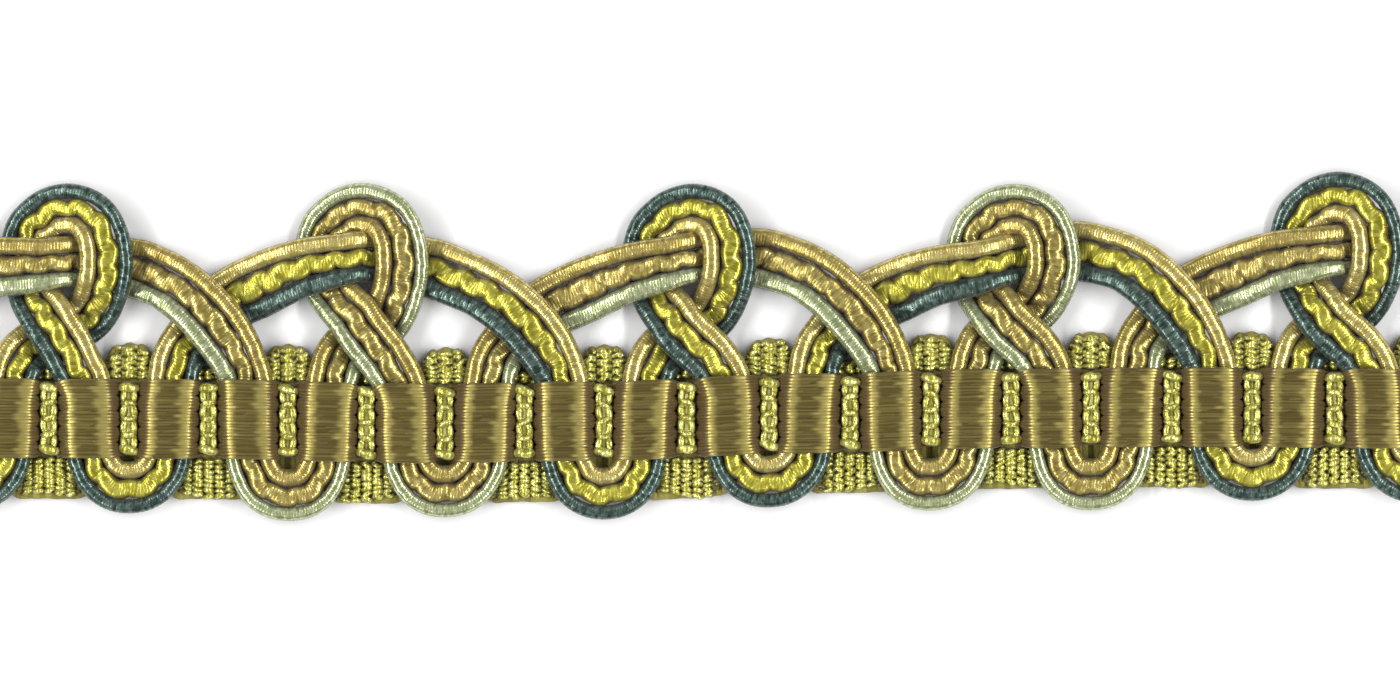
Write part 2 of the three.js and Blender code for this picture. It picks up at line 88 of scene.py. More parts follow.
CURL = np.array([
    (-3.2, 4.1, 2.0, 1.85, 1.65),
    (-2.95, 5.3, 1.85, 1.8, 1.75),
    (-2.5, 6.45, 1.25, 1.8, 1.8),
    (-1.7, 7.45, 0.65, 1.8, 1.8),
    (-0.6, 8.3, 0.7, 1.8, 1.8),
    (0.65, 9.05, 0.65, 1.85, 1.75),
    (1.85, 9.9, 0.65, 1.9, 1.7),
    (2.7, 11.05, 1.25, 2.0, 1.65),
    (3.3, 12.4, 1.95, 2.05, 1.65),
    (3.75, 13.9, 2.5, 2.1, 1.65),
    (3.98, 15.3, 2.8, 2.15, 1.65),
    (4.0, 16.8, 2.85, 2.15, 1.6),
    (3.65, 18.55, 2.75, 2.05, 1.6),
    (2.8, 20.1, 2.5, 1.9, 1.7),
    (1.5, 21.15, 2.1, 1.75, 1.7),
    (-0.25, 21.45, 1.65, 1.65, 1.75),
    (-1.9, 21.2, 1.2, 1.7, 1.7),
    (-3.05, 20.45, 0.95, 1.85, 1.7),
    (-4.15, 19.45, 0.8, 1.6, 1.6),
    (-4.7, 17.85, 0.7, 1.65, 1.6),
    (-4.75, 16.05, 0.7, 1.65, 1.65),
    (-4.35, 14.35, 0.65, 1.65, 1.7),
    (-3.55, 13.15, 0.8, 1.65, 1.7),
    (-2.65, 12.15, 1.4, 1.65, 1.75),
    (-1.25, 10.55, 2.2, 1.95, 1.75),
    (-0.15, 9.05, 2.75, 1.95, 1.8),
    (1.05, 7.6, 2.7, 1.95, 1.8),
    (2.25, 6.15, 2.7, 1.9, 1.8),
    (3.1, 4.85, 2.4, 1.85, 1.75),
    (3.65, 3.8, 2.1, 1.8, 1.75),
])
CURL_RISING = 15
ARC = np.array([
    (-18.95, 4.1, 2.0, 1.85, 1.65),
    (-18.8, 5.4, 1.85, 1.8, 1.75),
    (-18.35, 6.7, 1.45, 1.75, 1.8),
    (-17.6, 7.95, 1.0, 1.7, 1.85),
    (-16.4, 9.5, 0.75, 1.8, 1.95),
    (-14.65, 11.2, 0.65, 2.0, 2.1),
    (-12.45, 12.65, 0.65, 2.2, 2.3),
    (-10.45, 13.6, 0.9, 2.25, 2.35),
    (-8.45, 14.45, 1.65, 2.2, 2.2),
    (-6.45, 15.25, 2.25, 2.05, 2.05),
    (-4.45, 15.85, 2.4, 1.9, 2.0),
    (-2.45, 16.25, 2.6, 1.75, 1.85),
    (-0.45, 16.55, 2.3, 1.7, 1.75),
    (1.55, 16.6, 1.1, 1.75, 1.75),
    (3.55, 16.35, 0.7, 1.9, 1.8),
    (5.55, 15.8, 0.75, 2.05, 1.85),
    (7.55, 15.15, 0.85, 2.25, 1.9),
    (9.55, 14.2, 1.3, 2.3, 1.85),
    (11.55, 13.3, 1.95, 2.25, 1.85),
    (13.55, 12.2, 2.45, 2.15, 2.0),
    (15.55, 10.75, 2.7, 2.0, 2.2),
    (17.15, 9.2, 2.85, 1.9, 2.3),
    (18.35, 7.65, 2.75, 1.75, 2.25),
    (19.2, 6.15, 2.7, 1.65, 2.1),
    (19.65, 5.05, 2.3, 1.6, 1.95),
    (19.9, 3.9, 2.05, 1.65, 1.85),
])

Array = np.ndarray
Piece = bpy.types.Object
Socket = bpy.types.NodeSocket
Group = bpy.types.ShaderNodeTree
Draws = np.random.Generator
Pair = tuple[float, float]

# A cord's middle line, its radius and its height as a share of its width.
Line = tuple[Array, float, float]

# The pace of each sine in a ripple, and its shift for a seed of 1.
RIPPLES = ((0.61, 1.0), (0.23, 2.1), (1.37, 3.7))
# Each yarn starts within so many millimetres of its own turns of thread.
START_REACH = 400.0
SMALL = 1e-6


@dataclass(frozen=True)
class CurlShape:
    """How one curl differs: its lean at the top and at the leg, its rise, and how much
    higher its rising side and lower its falling side runs where the arc passes."""

    lean: float
    leg: float
    rise: float
    early: float
    late: float


@dataclass(frozen=True)
class ArcShape:
    """How one arc differs: the turns it joins, its lifts and how far its crest slides."""

    start: float
    end: float
    left: float
    middle: float
    right: float
    slide: float


CURLS = {
    0: CurlShape(2.3, 0.8, -0.45, 0.5, 0.05),
    2: CurlShape(0.1, 0.0, 0.0, -0.3, -0.45),
    4: CurlShape(0.85, -0.45, -0.55, 0.5, 0.2),
    6: CurlShape(0.8, -0.8, -1.5, 0.35, 0.75),
    8: CurlShape(0.9, -0.8, -0.3, 0.45, 0.45),
}
ARC_SPAN = 47.5
TURN_X = TURN_ROWS[:, 0]
ARCS = {
    -1: ArcShape(TURN_X[2] - ARC_SPAN, TURN_X[2], 0.0, -1.05, 0.45, 1.6),
    1: ArcShape(TURN_X[1], TURN_X[4], 0.0, 0.0, 0.0, -0.5),
    3: ArcShape(TURN_X[3], TURN_X[6], -0.7, -0.7, 0.65, 0.4),
    5: ArcShape(TURN_X[5], TURN_X[8], -1.2, -2.0, 0.9, -0.75),
    7: ArcShape(TURN_X[7], TURN_X[7] + ARC_SPAN, -0.9, -0.9, 0.5, 1.0),
}


def ramp(x: Array | float, low: Array | float, high: Array | float) -> Array:
    """An ease from 0 at low to 1 at high: t squared times (3 - 2t), t being the share."""
    t = np.clip((x - low) / (high - low), 0.0, 1.0)
    return t * t * (3.0 - 2.0 * t)


def eased(knots: Array, x: Array) -> Array:
    """Eases between knots.

    Args:
        knots: Rows of x and value.
        x: Where to read the value.

    Returns:
        The value at x, each span eased by ramp.
    """
    x = np.asarray(x, float)
    i = np.clip(np.searchsorted(knots[:, 0], x) - 1, 0, len(knots) - 2)
    share = ramp(x, knots[i, 0], knots[i + 1, 0])
    return knots[i, 1] + (knots[i + 1, 1] - knots[i, 1]) * share


def lie(x: Array) -> Array:
    """How far the whole braid lies off a straight line at x."""
    return eased(LIE, x)


def bell(x: Array, at: Array | float, width: float) -> Array:
    """A bell curve: e to the minus ((x - at) / width) squared."""
    return np.exp(-(((x - at) / width) ** 2))


def ripple(s: Array, seed: float) -> Array:
    """Slow unevenness between -1 and 1: the mean of three sines of unlike lengths."""
    return sum(np.sin(s * pace + shift * seed) for pace, shift in RIPPLES) / len(RIPPLES)


def starts(rng: Draws, count: int) -> Array:
    """Where along its own turns of thread each of several yarns starts."""
    return rng.uniform(0, START_REACH, count)


class Band(Enum):
    """The two bands of cords, by their turns."""

    A = "a"
    B = "b"


class Lay(Enum):
    """Where a cord lies in its band."""

    SMOOTH = "smooth"
    WAVE = "wave"
    ROUND = "round"


@dataclass
class Route:
    """The way of both bands through the braid. Each pair is where an ease starts and
    ends, or where a bell stands and how wide it is."""

    step: float = 0.1
    span_steps: int = 40
    lowest: float = 0.62
    turn_pitch: float = 16.0
    foot_drop: Pair = (-2.5, -6.0)
    foot_spread: Pair = (9.0, 4.0)
    rising_lean: Pair = (5.0, 11.0)
    leg_lean: Pair = (5.0, 9.0)
    top_lean: Pair = (10.0, 15.0)
    top_rise: Pair = (9.0, 18.0)
    early_bell: Pair = (13.6, 1.2)
    late_bell: Pair = (11.8, 1.6)
    arc_half: float = 23.75
    arc_knots: tuple[float, ...] = (-20.0, -11.0, -2.0, 12.0, 20.0)
    slide_left: Pair = (-14.0, -9.0)
    slide_right: Pair = (12.0, 7.0)
    crest: float = 0.5
    crest_slope: float = 0.042

    def turn(self, index: int, start: int = 0, stop: int = len(TURN)) -> Array:
        """One U-turn, moved to its centre and dropped at its foot.

        Args:
            index: Which turn.
            start: The first section of it.
            stop: The section before which it ends.

        Returns:
            Its sections.
        """
        rows = TURN[start:stop].copy()
        centre, drop = TURN_ROWS[index]
        rows[:, Y] -= drop * ramp(rows[:, Y], *self.foot_drop)
        rows[:, X] += centre
        return rows

    def curl(self, index: int) -> Array:
        """A curl, leaned and raised by its own shape.

        Args:
            index: The turn before it.

        Returns:
            Its sections.
        """
        shape = CURLS[index]
        rows = CURL.copy()
        y = rows[:, Y].copy()
        rising = np.arange(len(rows)) < CURL_RISING
        middle = (TURN_X[index] + TURN_X[index + 1]) / 2
        spread = (TURN_X[index + 1] - TURN_X[index] - self.turn_pitch) / 2
        rows[:, X] += middle + np.where(rising, -spread, spread) * ramp(y, *self.foot_spread)
        up = shape.lean * ramp(y, *self.rising_lean)
        down = shape.leg * ramp(y, *self.leg_lean)
        down = down + (shape.lean - shape.leg) * ramp(y, *self.top_lean)
        rows[:, X] += np.where(rising, up, down)
        rows[:, Y] += shape.rise * ramp(y, *self.top_rise)
        early, late = bell(y, *self.early_bell), bell(y, *self.late_bell)
        rows[:, Z] += np.where(rising, shape.early * early, -shape.late * late)
        return rows

    def arc(self, index: int) -> Array:
        """An arc, stretched, lifted and slid by its own shape.

        Args:
            index: The turn before it.

        Returns:
            Its sections.
        """
        shape = ARCS[index]
        rows = ARC.copy()
        x = rows[:, X].copy()
        lifts = (0, shape.left, shape.middle, shape.right, 0)
        slide = shape.slide * ramp(x, *self.slide_left) * ramp(x, *self.slide_right)
        stretch = ((shape.end - shape.start) / 2 - self.arc_half) / self.arc_knots[-1]
        rows[:, X] = (shape.start + shape.end) / 2 + x * (1 + stretch) + slide
        rows[:, Y] += eased(np.column_stack([self.arc_knots, lifts]), x)
        rows[:, Y] -= self.crest_slope * (x - self.crest) * slide
        return rows

    def sections(self, band: Band) -> Array:
        """All sections of a band from left to right.

        Args:
            band: Which band.

        Returns:
            The sections of its turns, curls and arcs.
        """
        if band is Band.A:
            return np.vstack([
                self.turn(0, TURN_FOOT), self.curl(0), self.turn(1), self.arc(1),
                self.turn(4), self.curl(4), self.turn(5), self.arc(5),
                self.turn(8), self.curl(8), self.turn(9, 0, TURN_FOOT + 1),
            ])
        return np.vstack([
            self.arc(-1), self.turn(2), self.curl(2), self.turn(3), self.arc(3), self.turn(6),
            self.curl(6), self.turn(7), self.arc(7),
        ])

    def run(self, rows: Array) -> Array:
        """A smooth run through sections.

        Each span is a cubic whose end slopes follow its neighbours, with each
        distance eased by its square root.

        Args:
            rows: The sections.

        Returns:
            The run, span_steps points a span.
        """
        ends = np.vstack([2 * rows[0] - rows[1], rows, 2 * rows[-1] - rows[-2]])
        p0, p1, p2, p3 = (ends[i : len(ends) - 3 + i][:, None, :] for i in range(4))
        d0, d1, d2 = (
            np.sqrt(np.linalg.norm((b - a)[..., :3], axis=2, keepdims=True))
            for a, b in ((p0, p1), (p1, p2), (p2, p3))
        )
        m1 = ((p1 - p0) / d0 - (p2 - p0) / (d0 + d1) + (p2 - p1) / d1) * d1
        m2 = ((p2 - p1) / d1 - (p3 - p1) / (d1 + d2) + (p3 - p2) / d2) * d1
        t = np.linspace(0, 1, self.span_steps, endpoint=False)[None, :, None]
        square = -3 * p1 + 3 * p2 - 2 * m1 - m2
        cube = 2 * p1 - 2 * p2 + m1 + m2
        spans = p1 + m1 * t + square * t**2 + cube * t**3
        return np.vstack([spans.reshape(-1, rows.shape[1]), rows[-1:]])

    def path(self, band: Band) -> tuple[Array, Array]:
        """The band's run between the cuts at even steps.

        Args:
            band: Which band.

        Returns:
            The sections at even steps, and the distance along at each.
        """
        run = self.run(self.sections(band))
        kept = run[(run[:, X] >= CUT_LEFT) & (run[:, X] <= CUT_RIGHT)]
        steps = np.linalg.norm(np.diff(kept[:, :3], axis=0), axis=1)
        lengths = np.concatenate([[0], np.cumsum(steps)])
        s = np.linspace(0, lengths[-1], int(round(lengths[-1] / self.step)) + 1)
        even = np.column_stack([np.interp(s, lengths, column) for column in kept.T])
        even[:, Y] += lie(even[:, X])
        even[:, Z] = np.maximum(even[:, Z], self.lowest)
        return even, s


@dataclass
class Surface:
    """Faces of one piece in the drawing frame, with a wrap coordinate at each corner
    of a quad: the share of the way round a thread, and the millimetres along it.
    shade is 1 for full painted shade, as in the gaps between cords, 0 in the open, and down to -1
    for a painted highlight, as where the satin's threads bend over the cords."""

    points: Array
    quads: Array
    quad_wrap: Array
    triangles: Array
    shade: Array

    @staticmethod
    def joined(parts: list["Surface"]) -> "Surface":
        """Several surfaces as one, their points numbered on."""
        starts = np.cumsum([0] + [len(p.points) for p in parts[:-1]])
        return Surface(
            np.vstack([p.points for p in parts]),
            np.vstack([p.quads + n for p, n in zip(parts, starts)]),
            np.vstack([p.quad_wrap for p in parts]),
            np.vstack([p.triangles + n for p, n in zip(parts, starts)]),
            np.concatenate([p.shade for p in parts]),
        )


def loft(rings: Array, along: Array, shade: Array) -> Surface:
    """Closes rings into tubes: quads from ring to ring and a fan over each end.

    Args:
        rings: Points of shape (tubes, rings, sides, 3), turning from left to up.
        along: Millimetres along each tube, of shape (tubes, rings).
        shade: Shades that fit the shape (tubes, rings, sides).

    Returns:
        The surface of all tubes.
    """
    tubes, count, sides, _ = rings.shape
    body = rings.reshape(-1, 3)
    hubs = np.stack([rings[:, 0].mean(axis=1), rings[:, -1].mean(axis=1)], axis=1).reshape(-1, 3)
    t, i, k = np.meshgrid(np.arange(tubes), np.arange(count - 1), np.arange(sides), indexing="ij")
    nxt = (k + 1) % sides
    base = (t * count + i) * sides
    corners = [base + k, base + nxt, base + sides + nxt, base + sides + k]
    quads = np.stack(corners, axis=-1).reshape(-1, 4)
    low, high = along[t, i], along[t, i + 1]
    u0, u1 = k / sides, (k + 1) / sides
    corners = [np.stack(pair, -1) for pair in ((u0, low), (u1, low), (u1, high), (u0, high))]
    quad_wrap = np.stack(corners, axis=-2).reshape(-1, 4, 2)
    t, k = np.meshgrid(np.arange(tubes), np.arange(sides), indexing="ij")
    nxt = (k + 1) % sides
    first, last = t * count * sides, (t * count + count - 1) * sides
    hub = tubes * count * sides + 2 * t
    corners = [(hub, first + nxt, first + k), (hub + 1, last + k, last + nxt)]
    fans = np.stack([np.stack(fan, -1) for fan in corners], axis=-2).reshape(-1, 3)
    shades = np.broadcast_to(shade, rings.shape[:3])
    ends = np.stack([shades[:, 0].mean(axis=1), shades[:, -1].mean(axis=1)], axis=1)
    shades = np.concatenate([shades.ravel(), ends.ravel()])
    return Surface(np.vstack([body, hubs]), quads, quad_wrap, fans, shades)


def thread(
    paths: Array, radius: Array, sides: int, shade: Array,
    flat: float = 1.0, start: Array | float = 0.0,
) -> Surface:
    """Tubes round paths that never stand upright.

    A ring's points are the path's point plus the radius times (cosine of the angle
    times left, plus sine times flat times up), where left is level and square to
    the path.

    Args:
        paths: Points of shape (tubes, rings, 3).
        radius: Radii that fit the shape (tubes, rings, sides).
        sides: Points in a ring.
        shade: Shades that fit the same shape.
        flat: Height of a section as a share of its width.
        start: Millimetres at which each tube's wrap coordinate starts.

    Returns:
        The closed surface.
    """
    along = np.gradient(paths, axis=1)
    along /= np.linalg.norm(along, axis=2, keepdims=True)
    left = np.stack([-along[..., 1], along[..., 0], np.zeros_like(along[..., 0])], axis=-1)
    left /= np.linalg.norm(left, axis=2, keepdims=True)
    up = np.cross(along, left)
    angle = 2 * np.pi * np.arange(sides) / sides
    spokes = np.cos(angle)[None, None, :, None] * left[:, :, None, :]
    spokes = spokes + flat * np.sin(angle)[None, None, :, None] * up[:, :, None, :]
    rings = paths[:, :, None, :] + np.broadcast_to(radius, spokes.shape[:3])[..., None] * spokes
    steps = np.linalg.norm(np.diff(paths, axis=1), axis=2)
    lengths = np.concatenate([np.zeros((len(paths), 1)), np.cumsum(steps, axis=1)], axis=1)
    return loft(rings, lengths + np.reshape(start, (-1, 1)), shade)


def add(name: str, data: bpy.types.ID) -> Piece:
    """Adds an object with the given data to the scene."""
    made = bpy.data.objects.new(name, data)
    bpy.context.scene.collection.objects.link(made)
    return made


def place(
    name: str, surface: Surface, material: bpy.types.Material, node: str, slot: str
) -> Piece:
    """Puts a surface into the scene as a piece at the origin, in place of a solid.

    Args:
        name: The piece's name.
        surface: Its faces, in the drawing frame.
        material: Its finish.
        node: The solid that it replaces.
        slot: Its slot; not used.

    Returns:
        The new object.
    """
    mesh = bpy.data.meshes.new(name)
    mesh.vertices.add(len(surface.points))
    mesh.vertices.foreach_set("co", ((surface.points - MIDDLE) * MM).astype(np.float32).ravel())
    corners = np.concatenate([surface.quads.ravel(), surface.triangles.ravel()])
    totals = np.concatenate([np.full(len(surface.quads), 4), np.full(len(surface.triangles), 3)])
    mesh.loops.add(len(corners))
    mesh.loops.foreach_set("vertex_index", corners.astype(np.int32))
    mesh.polygons.add(len(totals))
    firsts = np.concatenate([[0], np.cumsum(totals)[:-1]])
    mesh.polygons.foreach_set("loop_start", firsts.astype(np.int32))
    mesh.polygons.foreach_set("use_smooth", totals == 4)
    mesh.update(calc_edges=True)
    wrap = mesh.uv_layers.new(name="wrap")
    uv = np.concatenate([surface.quad_wrap.reshape(-1, 2), np.zeros((surface.triangles.size, 2))])
    wrap.data.foreach_set("uv", uv.astype(np.float32).ravel())
    shade = mesh.attributes.new("shade", "FLOAT", "POINT")
    shade.data.foreach_set("value", surface.shade.astype(np.float32))
    mesh.validate()
    mesh.materials.append(material)
    piece = add(name, mesh)
    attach(piece, "root")
    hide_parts(node)
    return piece


def linear(red: int, green: int, blue: int) -> tuple[float, float, float, float]:
    """Turns a screen colour into the linear one that shaders take, by the sRGB curve.

    Args:
        red: Red of 0 to 255.
        green: Green of 0 to 255.
        blue: Blue of 0 to 255.

    Returns:
        Red, green and blue of 0 to 1, and an alpha of 1.
    """
    c = np.array([red, green, blue]) / 255.0
    c = np.where(c <= 0.04045, c / 12.92, ((c + 0.055) / 1.055) ** 2.4)
    return (float(c[0]), float(c[1]), float(c[2]), 1.0)


class Graph:
    """Nodes of one tree, made and joined by short calls."""

    def __init__(self, tree: bpy.types.NodeTree) -> None:
        """Keeps the tree that the calls add to."""
        self.tree = tree

    def feed(self, socket: Socket, value: object) -> None:
        """Links another node's output into a socket, or sets the socket to a value."""
        if isinstance(value, Socket):
            self.tree.links.new(value, socket)
        else:
            socket.default_value = value

    def node(self, kind: str, settings: dict | None = None, **inputs: object) -> bpy.types.Node:
        """Adds a node.

        Args:
            kind: The node's type.
            settings: Its properties by name.
            inputs: Its sockets, by name with spaces as underscores or as in0, in1:
                a number, a colour or another node's output.

        Returns:
            The node.
        """
        made = self.tree.nodes.new(kind)
        for key, value in (settings or {}).items():
            setattr(made, key, value)
        for key, value in inputs.items():
            numbered = key[:2] == "in" and key[2:].isdigit()
            self.feed(made.inputs[int(key[2:]) if numbered else key.replace("_", " ")], value)
        return made

    def math(self, operation: str, a: object, b: object = 0.0, clamp: bool = False) -> Socket:
        """The result of one Math node."""
        settings = {"operation": operation, "use_clamp": clamp}
        return self.node("ShaderNodeMath", settings, in0=a, in1=b).outputs[0]

    def spread(self, value: object, span: Pair, to: Pair = (0.0, 1.0)) -> Socket:
        """A value mapped smoothly from one range to another."""
        return self.node(
            "ShaderNodeMapRange", {"interpolation_type": "SMOOTHSTEP"}, Value=value,
            From_Min=span[0], From_Max=span[1], To_Min=to[0], To_Max=to[1],
        ).outputs["Result"]

    def blend(self, share: object, a: object, b: object) -> Socket:
        """A mix of two colours."""
        return self.node("ShaderNodeMix", {"data_type": "RGBA"}, in0=share, in6=a, in7=b).outputs[2]


@dataclass(frozen=True)
class WrappedThread:
    """The fine turns of thread round a yarn: how often streaks and fibres change round
    it and across a turn, and how far ridges, fibres and streaks raise it."""

    streaks_round: float = 6.0
    streak_scale: float = 0.83
    fibres_across: float = 3.3
    fibres_round: float = 14.0
    ridge_rise: float = 0.5
    fibre_rise: float = 0.6
    streak_rise: float = 2.2

    def group(self) -> Group:
        """Builds the node group.

        Its phase is along / pitch + slant x round. Streak is a noise with its own
        values on each turn of thread. Height adds the size of the sine of half a turn
        of the phase, the streak and a fine fibre noise.

        Returns:
            The group, with sockets Round, Along, Pitch, Slant, Height and Streak.
        """
        group = bpy.data.node_groups.new("wrapped_thread", "ShaderNodeTree")
        sockets = {"INPUT": ("Round", "Along", "Pitch", "Slant"), "OUTPUT": ("Height", "Streak")}
        for way, names in sockets.items():
            for name in names:
                group.interface.new_socket(name, in_out=way, socket_type="NodeSocketFloat")
        g = Graph(group)
        given = g.node("NodeGroupInput").outputs
        turns = g.math("DIVIDE", given["Along"], given["Pitch"])
        phase = g.math("ADD", turns, g.math("MULTIPLY", given["Round"], given["Slant"]))
        ridge = g.math("ABSOLUTE", g.math("SINE", g.math("MULTIPLY", phase, float(np.pi))))
        lane = g.math("MULTIPLY", given["Round"], self.streaks_round)
        where = g.node("ShaderNodeCombineXYZ", X=g.math("FLOOR", phase), Y=lane).outputs[0]
        streak = g.node(
            "ShaderNodeTexNoise", Vector=where, Scale=self.streak_scale, Detail=1.0
        ).outputs[0]
        across = g.math("MULTIPLY", phase, self.fibres_across)
        lane = g.math("MULTIPLY", given["Round"], self.fibres_round)
        where = g.node("ShaderNodeCombineXYZ", X=across, Y=lane).outputs[0]
        fibre = g.node("ShaderNodeTexNoise", Vector=where, Scale=1.0, Detail=2.0).outputs[0]
        ridge = g.math("MULTIPLY", ridge, self.ridge_rise)
        relief = g.math("ADD", ridge, g.math("MULTIPLY", fibre, self.fibre_rise))
        height = g.math("ADD", relief, g.math("MULTIPLY", streak, self.streak_rise))
        g.node("NodeGroupOutput", Height=height, Streak=streak)
        return group


class Grain(Enum):
    """Which way the fibres at a yarn's surface run, as a share of a turn."""

    ALONG = 0.0
    ROUND = 0.25


@dataclass(frozen=True)
class Finish:
    """The look of one yarn: its colour in the open, the darker colours of painted shade on its
    flanks and in gaps, the colour of its painted highlight and how far streaks go towards it, the
    threads' pitch and slant, their relief, and how glossy and how metallic their fibres are."""

    name: str
    face: tuple[int, int, int]
    flank: tuple[int, int, int]
    gap_shade: tuple[int, int, int]
    bright: tuple[int, int, int]
    pitch: float = 0.3
    slant: float = 1.0
    relief: float = 0.026
    roughness: float = 0.32
    rough_vary: float = 0.06
    gloss: float = 0.7
    vary: float = 0.6
    flank_shade_span: Pair = (-0.1, 0.7)
    streak_span: Pair = (0.35, 0.7)
    rough_span: Pair = (0.3, 0.75)
    stretch: float = 0.7
    grain: Grain = Grain.ROUND
    sheen: float = 0.15

    def material(self, wrap: Group) -> bpy.types.Material:
        """Builds the material.

        The colour goes from flank to face by how far the surface faces up, which is painted shade
        on the sides. It then goes towards the painted highlight colour by the streaks of its
        threads, random in tone but kept to the upward-facing top, and by a negative shade value, a
        painted highlight. A positive one, painted shade, takes it to the colour of shade in gaps
        and takes the gloss away too.

        Args:
            wrap: The group of wrapped thread.

        Returns:
            The material.
        """
        material = bpy.data.materials.new(self.name)
        material.use_nodes = True
        material.diffuse_color = linear(*self.face)
        tree = material.node_tree
        tree.nodes.clear()
        g = Graph(tree)
        uv = g.node("ShaderNodeUVMap", {"uv_map": "wrap"}).outputs[0]
        parts = g.node("ShaderNodeSeparateXYZ", Vector=uv).outputs
        threads = g.node(
            "ShaderNodeGroup", {"node_tree": wrap}, Round=parts[0], Along=parts[1],
            Pitch=self.pitch, Slant=self.slant,
        ).outputs
        normal = g.node("ShaderNodeTexCoord").outputs["Normal"]
        up = g.node("ShaderNodeSeparateXYZ", Vector=normal).outputs[2]
        # Painted shade: the flank colour takes over where the surface faces away from up.
        painted_facing_light = g.spread(up, self.flank_shade_span)
        shade = g.node("ShaderNodeAttribute", {"attribute_name": "shade"}).outputs["Fac"]
        face, flank, gap_shade, bright = (
            linear(*colour) for colour in (self.face, self.flank, self.gap_shade, self.bright)
        )
        # Random streaks of thread tone, lightened towards the painted highlight colour and kept to
        # the upward-facing top.
        streak_tone_and_highlight = g.spread(threads["Streak"], self.streak_span, (0.0, self.vary))
        streak_tone_and_highlight = g.math("MULTIPLY", streak_tone_and_highlight, painted_facing_light)
        colour = g.blend(streak_tone_and_highlight, g.blend(painted_facing_light, flank, face), bright)
        # A negative shade is a painted highlight; a positive one is painted shade, which also takes
        # the gloss away.
        colour = g.blend(g.math("MULTIPLY", shade, -1.0, clamp=True), colour, bright)
        colour = g.blend(g.math("MAXIMUM", shade, 0.0), colour, gap_shade)
        gloss = g.math("MULTIPLY", g.math("SUBTRACT", 1.0, shade, clamp=True), self.gloss)
        dull, glossy = self.roughness + self.rough_vary, self.roughness - self.rough_vary
        roughness = g.spread(threads["Streak"], self.rough_span, (dull, glossy))
        bump = g.node(
            "ShaderNodeBump", Height=threads["Height"], Strength=1.0, Distance=self.relief * MM
        )
        tangent = g.node("ShaderNodeTangent", {"direction_type": "UV_MAP", "uv_map": "wrap"})
        shader = g.node(
            "ShaderNodeBsdfPrincipled", Base_Color=colour, Roughness=roughness, Metallic=gloss,
            Normal=bump.outputs[0], Tangent=tangent.outputs[0], Anisotropic=self.stretch,
            Anisotropic_Rotation=self.grain.value, Sheen_Weight=self.sheen,
        )
        g.node("ShaderNodeOutputMaterial", Surface=shader.outputs[0])
        return material


# Colours of the face, the flanks, the gaps and the highlights as on a screen, of 0 to 255; the
# colours for flanks and gaps are painted shade, the last is a painted highlight.
# The colour of painted shade in the gaps between cords, shared by three finishes.
GAP_SHADE = (50, 27, 4)
LIGHT_GOLD = Finish(
    "light_gold_wrap", (178, 160, 82), (102, 82, 28), GAP_SHADE, (244, 230, 162),
    relief=0.03, roughness=0.26,
)
TAN_GOLD = Finish(
    "tan_gold_wrap", (160, 142, 68), (90, 72, 22), GAP_SHADE, (228, 208, 136),
    relief=0.03, roughness=0.26,
)
YELLOW_CRINKLE = Finish(
    "yellow_crinkle", (158, 150, 40), (90, 78, 14), (62, 46, 6), (248, 242, 116),
    pitch=0.32, slant=2.0, relief=0.032, roughness=0.28,
)
GOLD_CRINKLE = Finish(
    "gold_crinkle", (146, 130, 60), (90, 70, 24), GAP_SHADE, (236, 217, 140),
    pitch=0.32, slant=2.0, relief=0.032, roughness=0.28,
)
TEAL = Finish(
    "teal_wrap", (44, 63, 57), (14, 25, 20), (6, 11, 7), (132, 154, 144), roughness=0.28,
)
SAGE = Finish(
    "sage_wrap", (150, 160, 112), (74, 84, 48), (40, 42, 18), (238, 243, 202), roughness=0.26,
)
SATIN = Finish(
    "satin_float", (112, 95, 48), (92, 72, 32), (84, 64, 30), (210, 196, 114),
    pitch=4.6, slant=0.5, relief=0.02, roughness=0.42, gloss=0.8, vary=0.35, stretch=0.5,
    grain=Grain.ALONG,
)
WEFT = Finish(
    "yellow_weft", (166, 160, 52), (84, 76, 14), (46, 34, 4), (255, 252, 156),
    pitch=0.5, relief=0.07, roughness=0.3, gloss=0.65, vary=0.85, stretch=0.3,
    grain=Grain.ALONG,
)
CLOTH = Finish(
    "heading_cloth", (124, 114, 38), (88, 74, 20), (56, 40, 8), (174, 166, 74),
    pitch=0.6, relief=0.1, roughness=0.6, gloss=0.2, stretch=0.0,
)


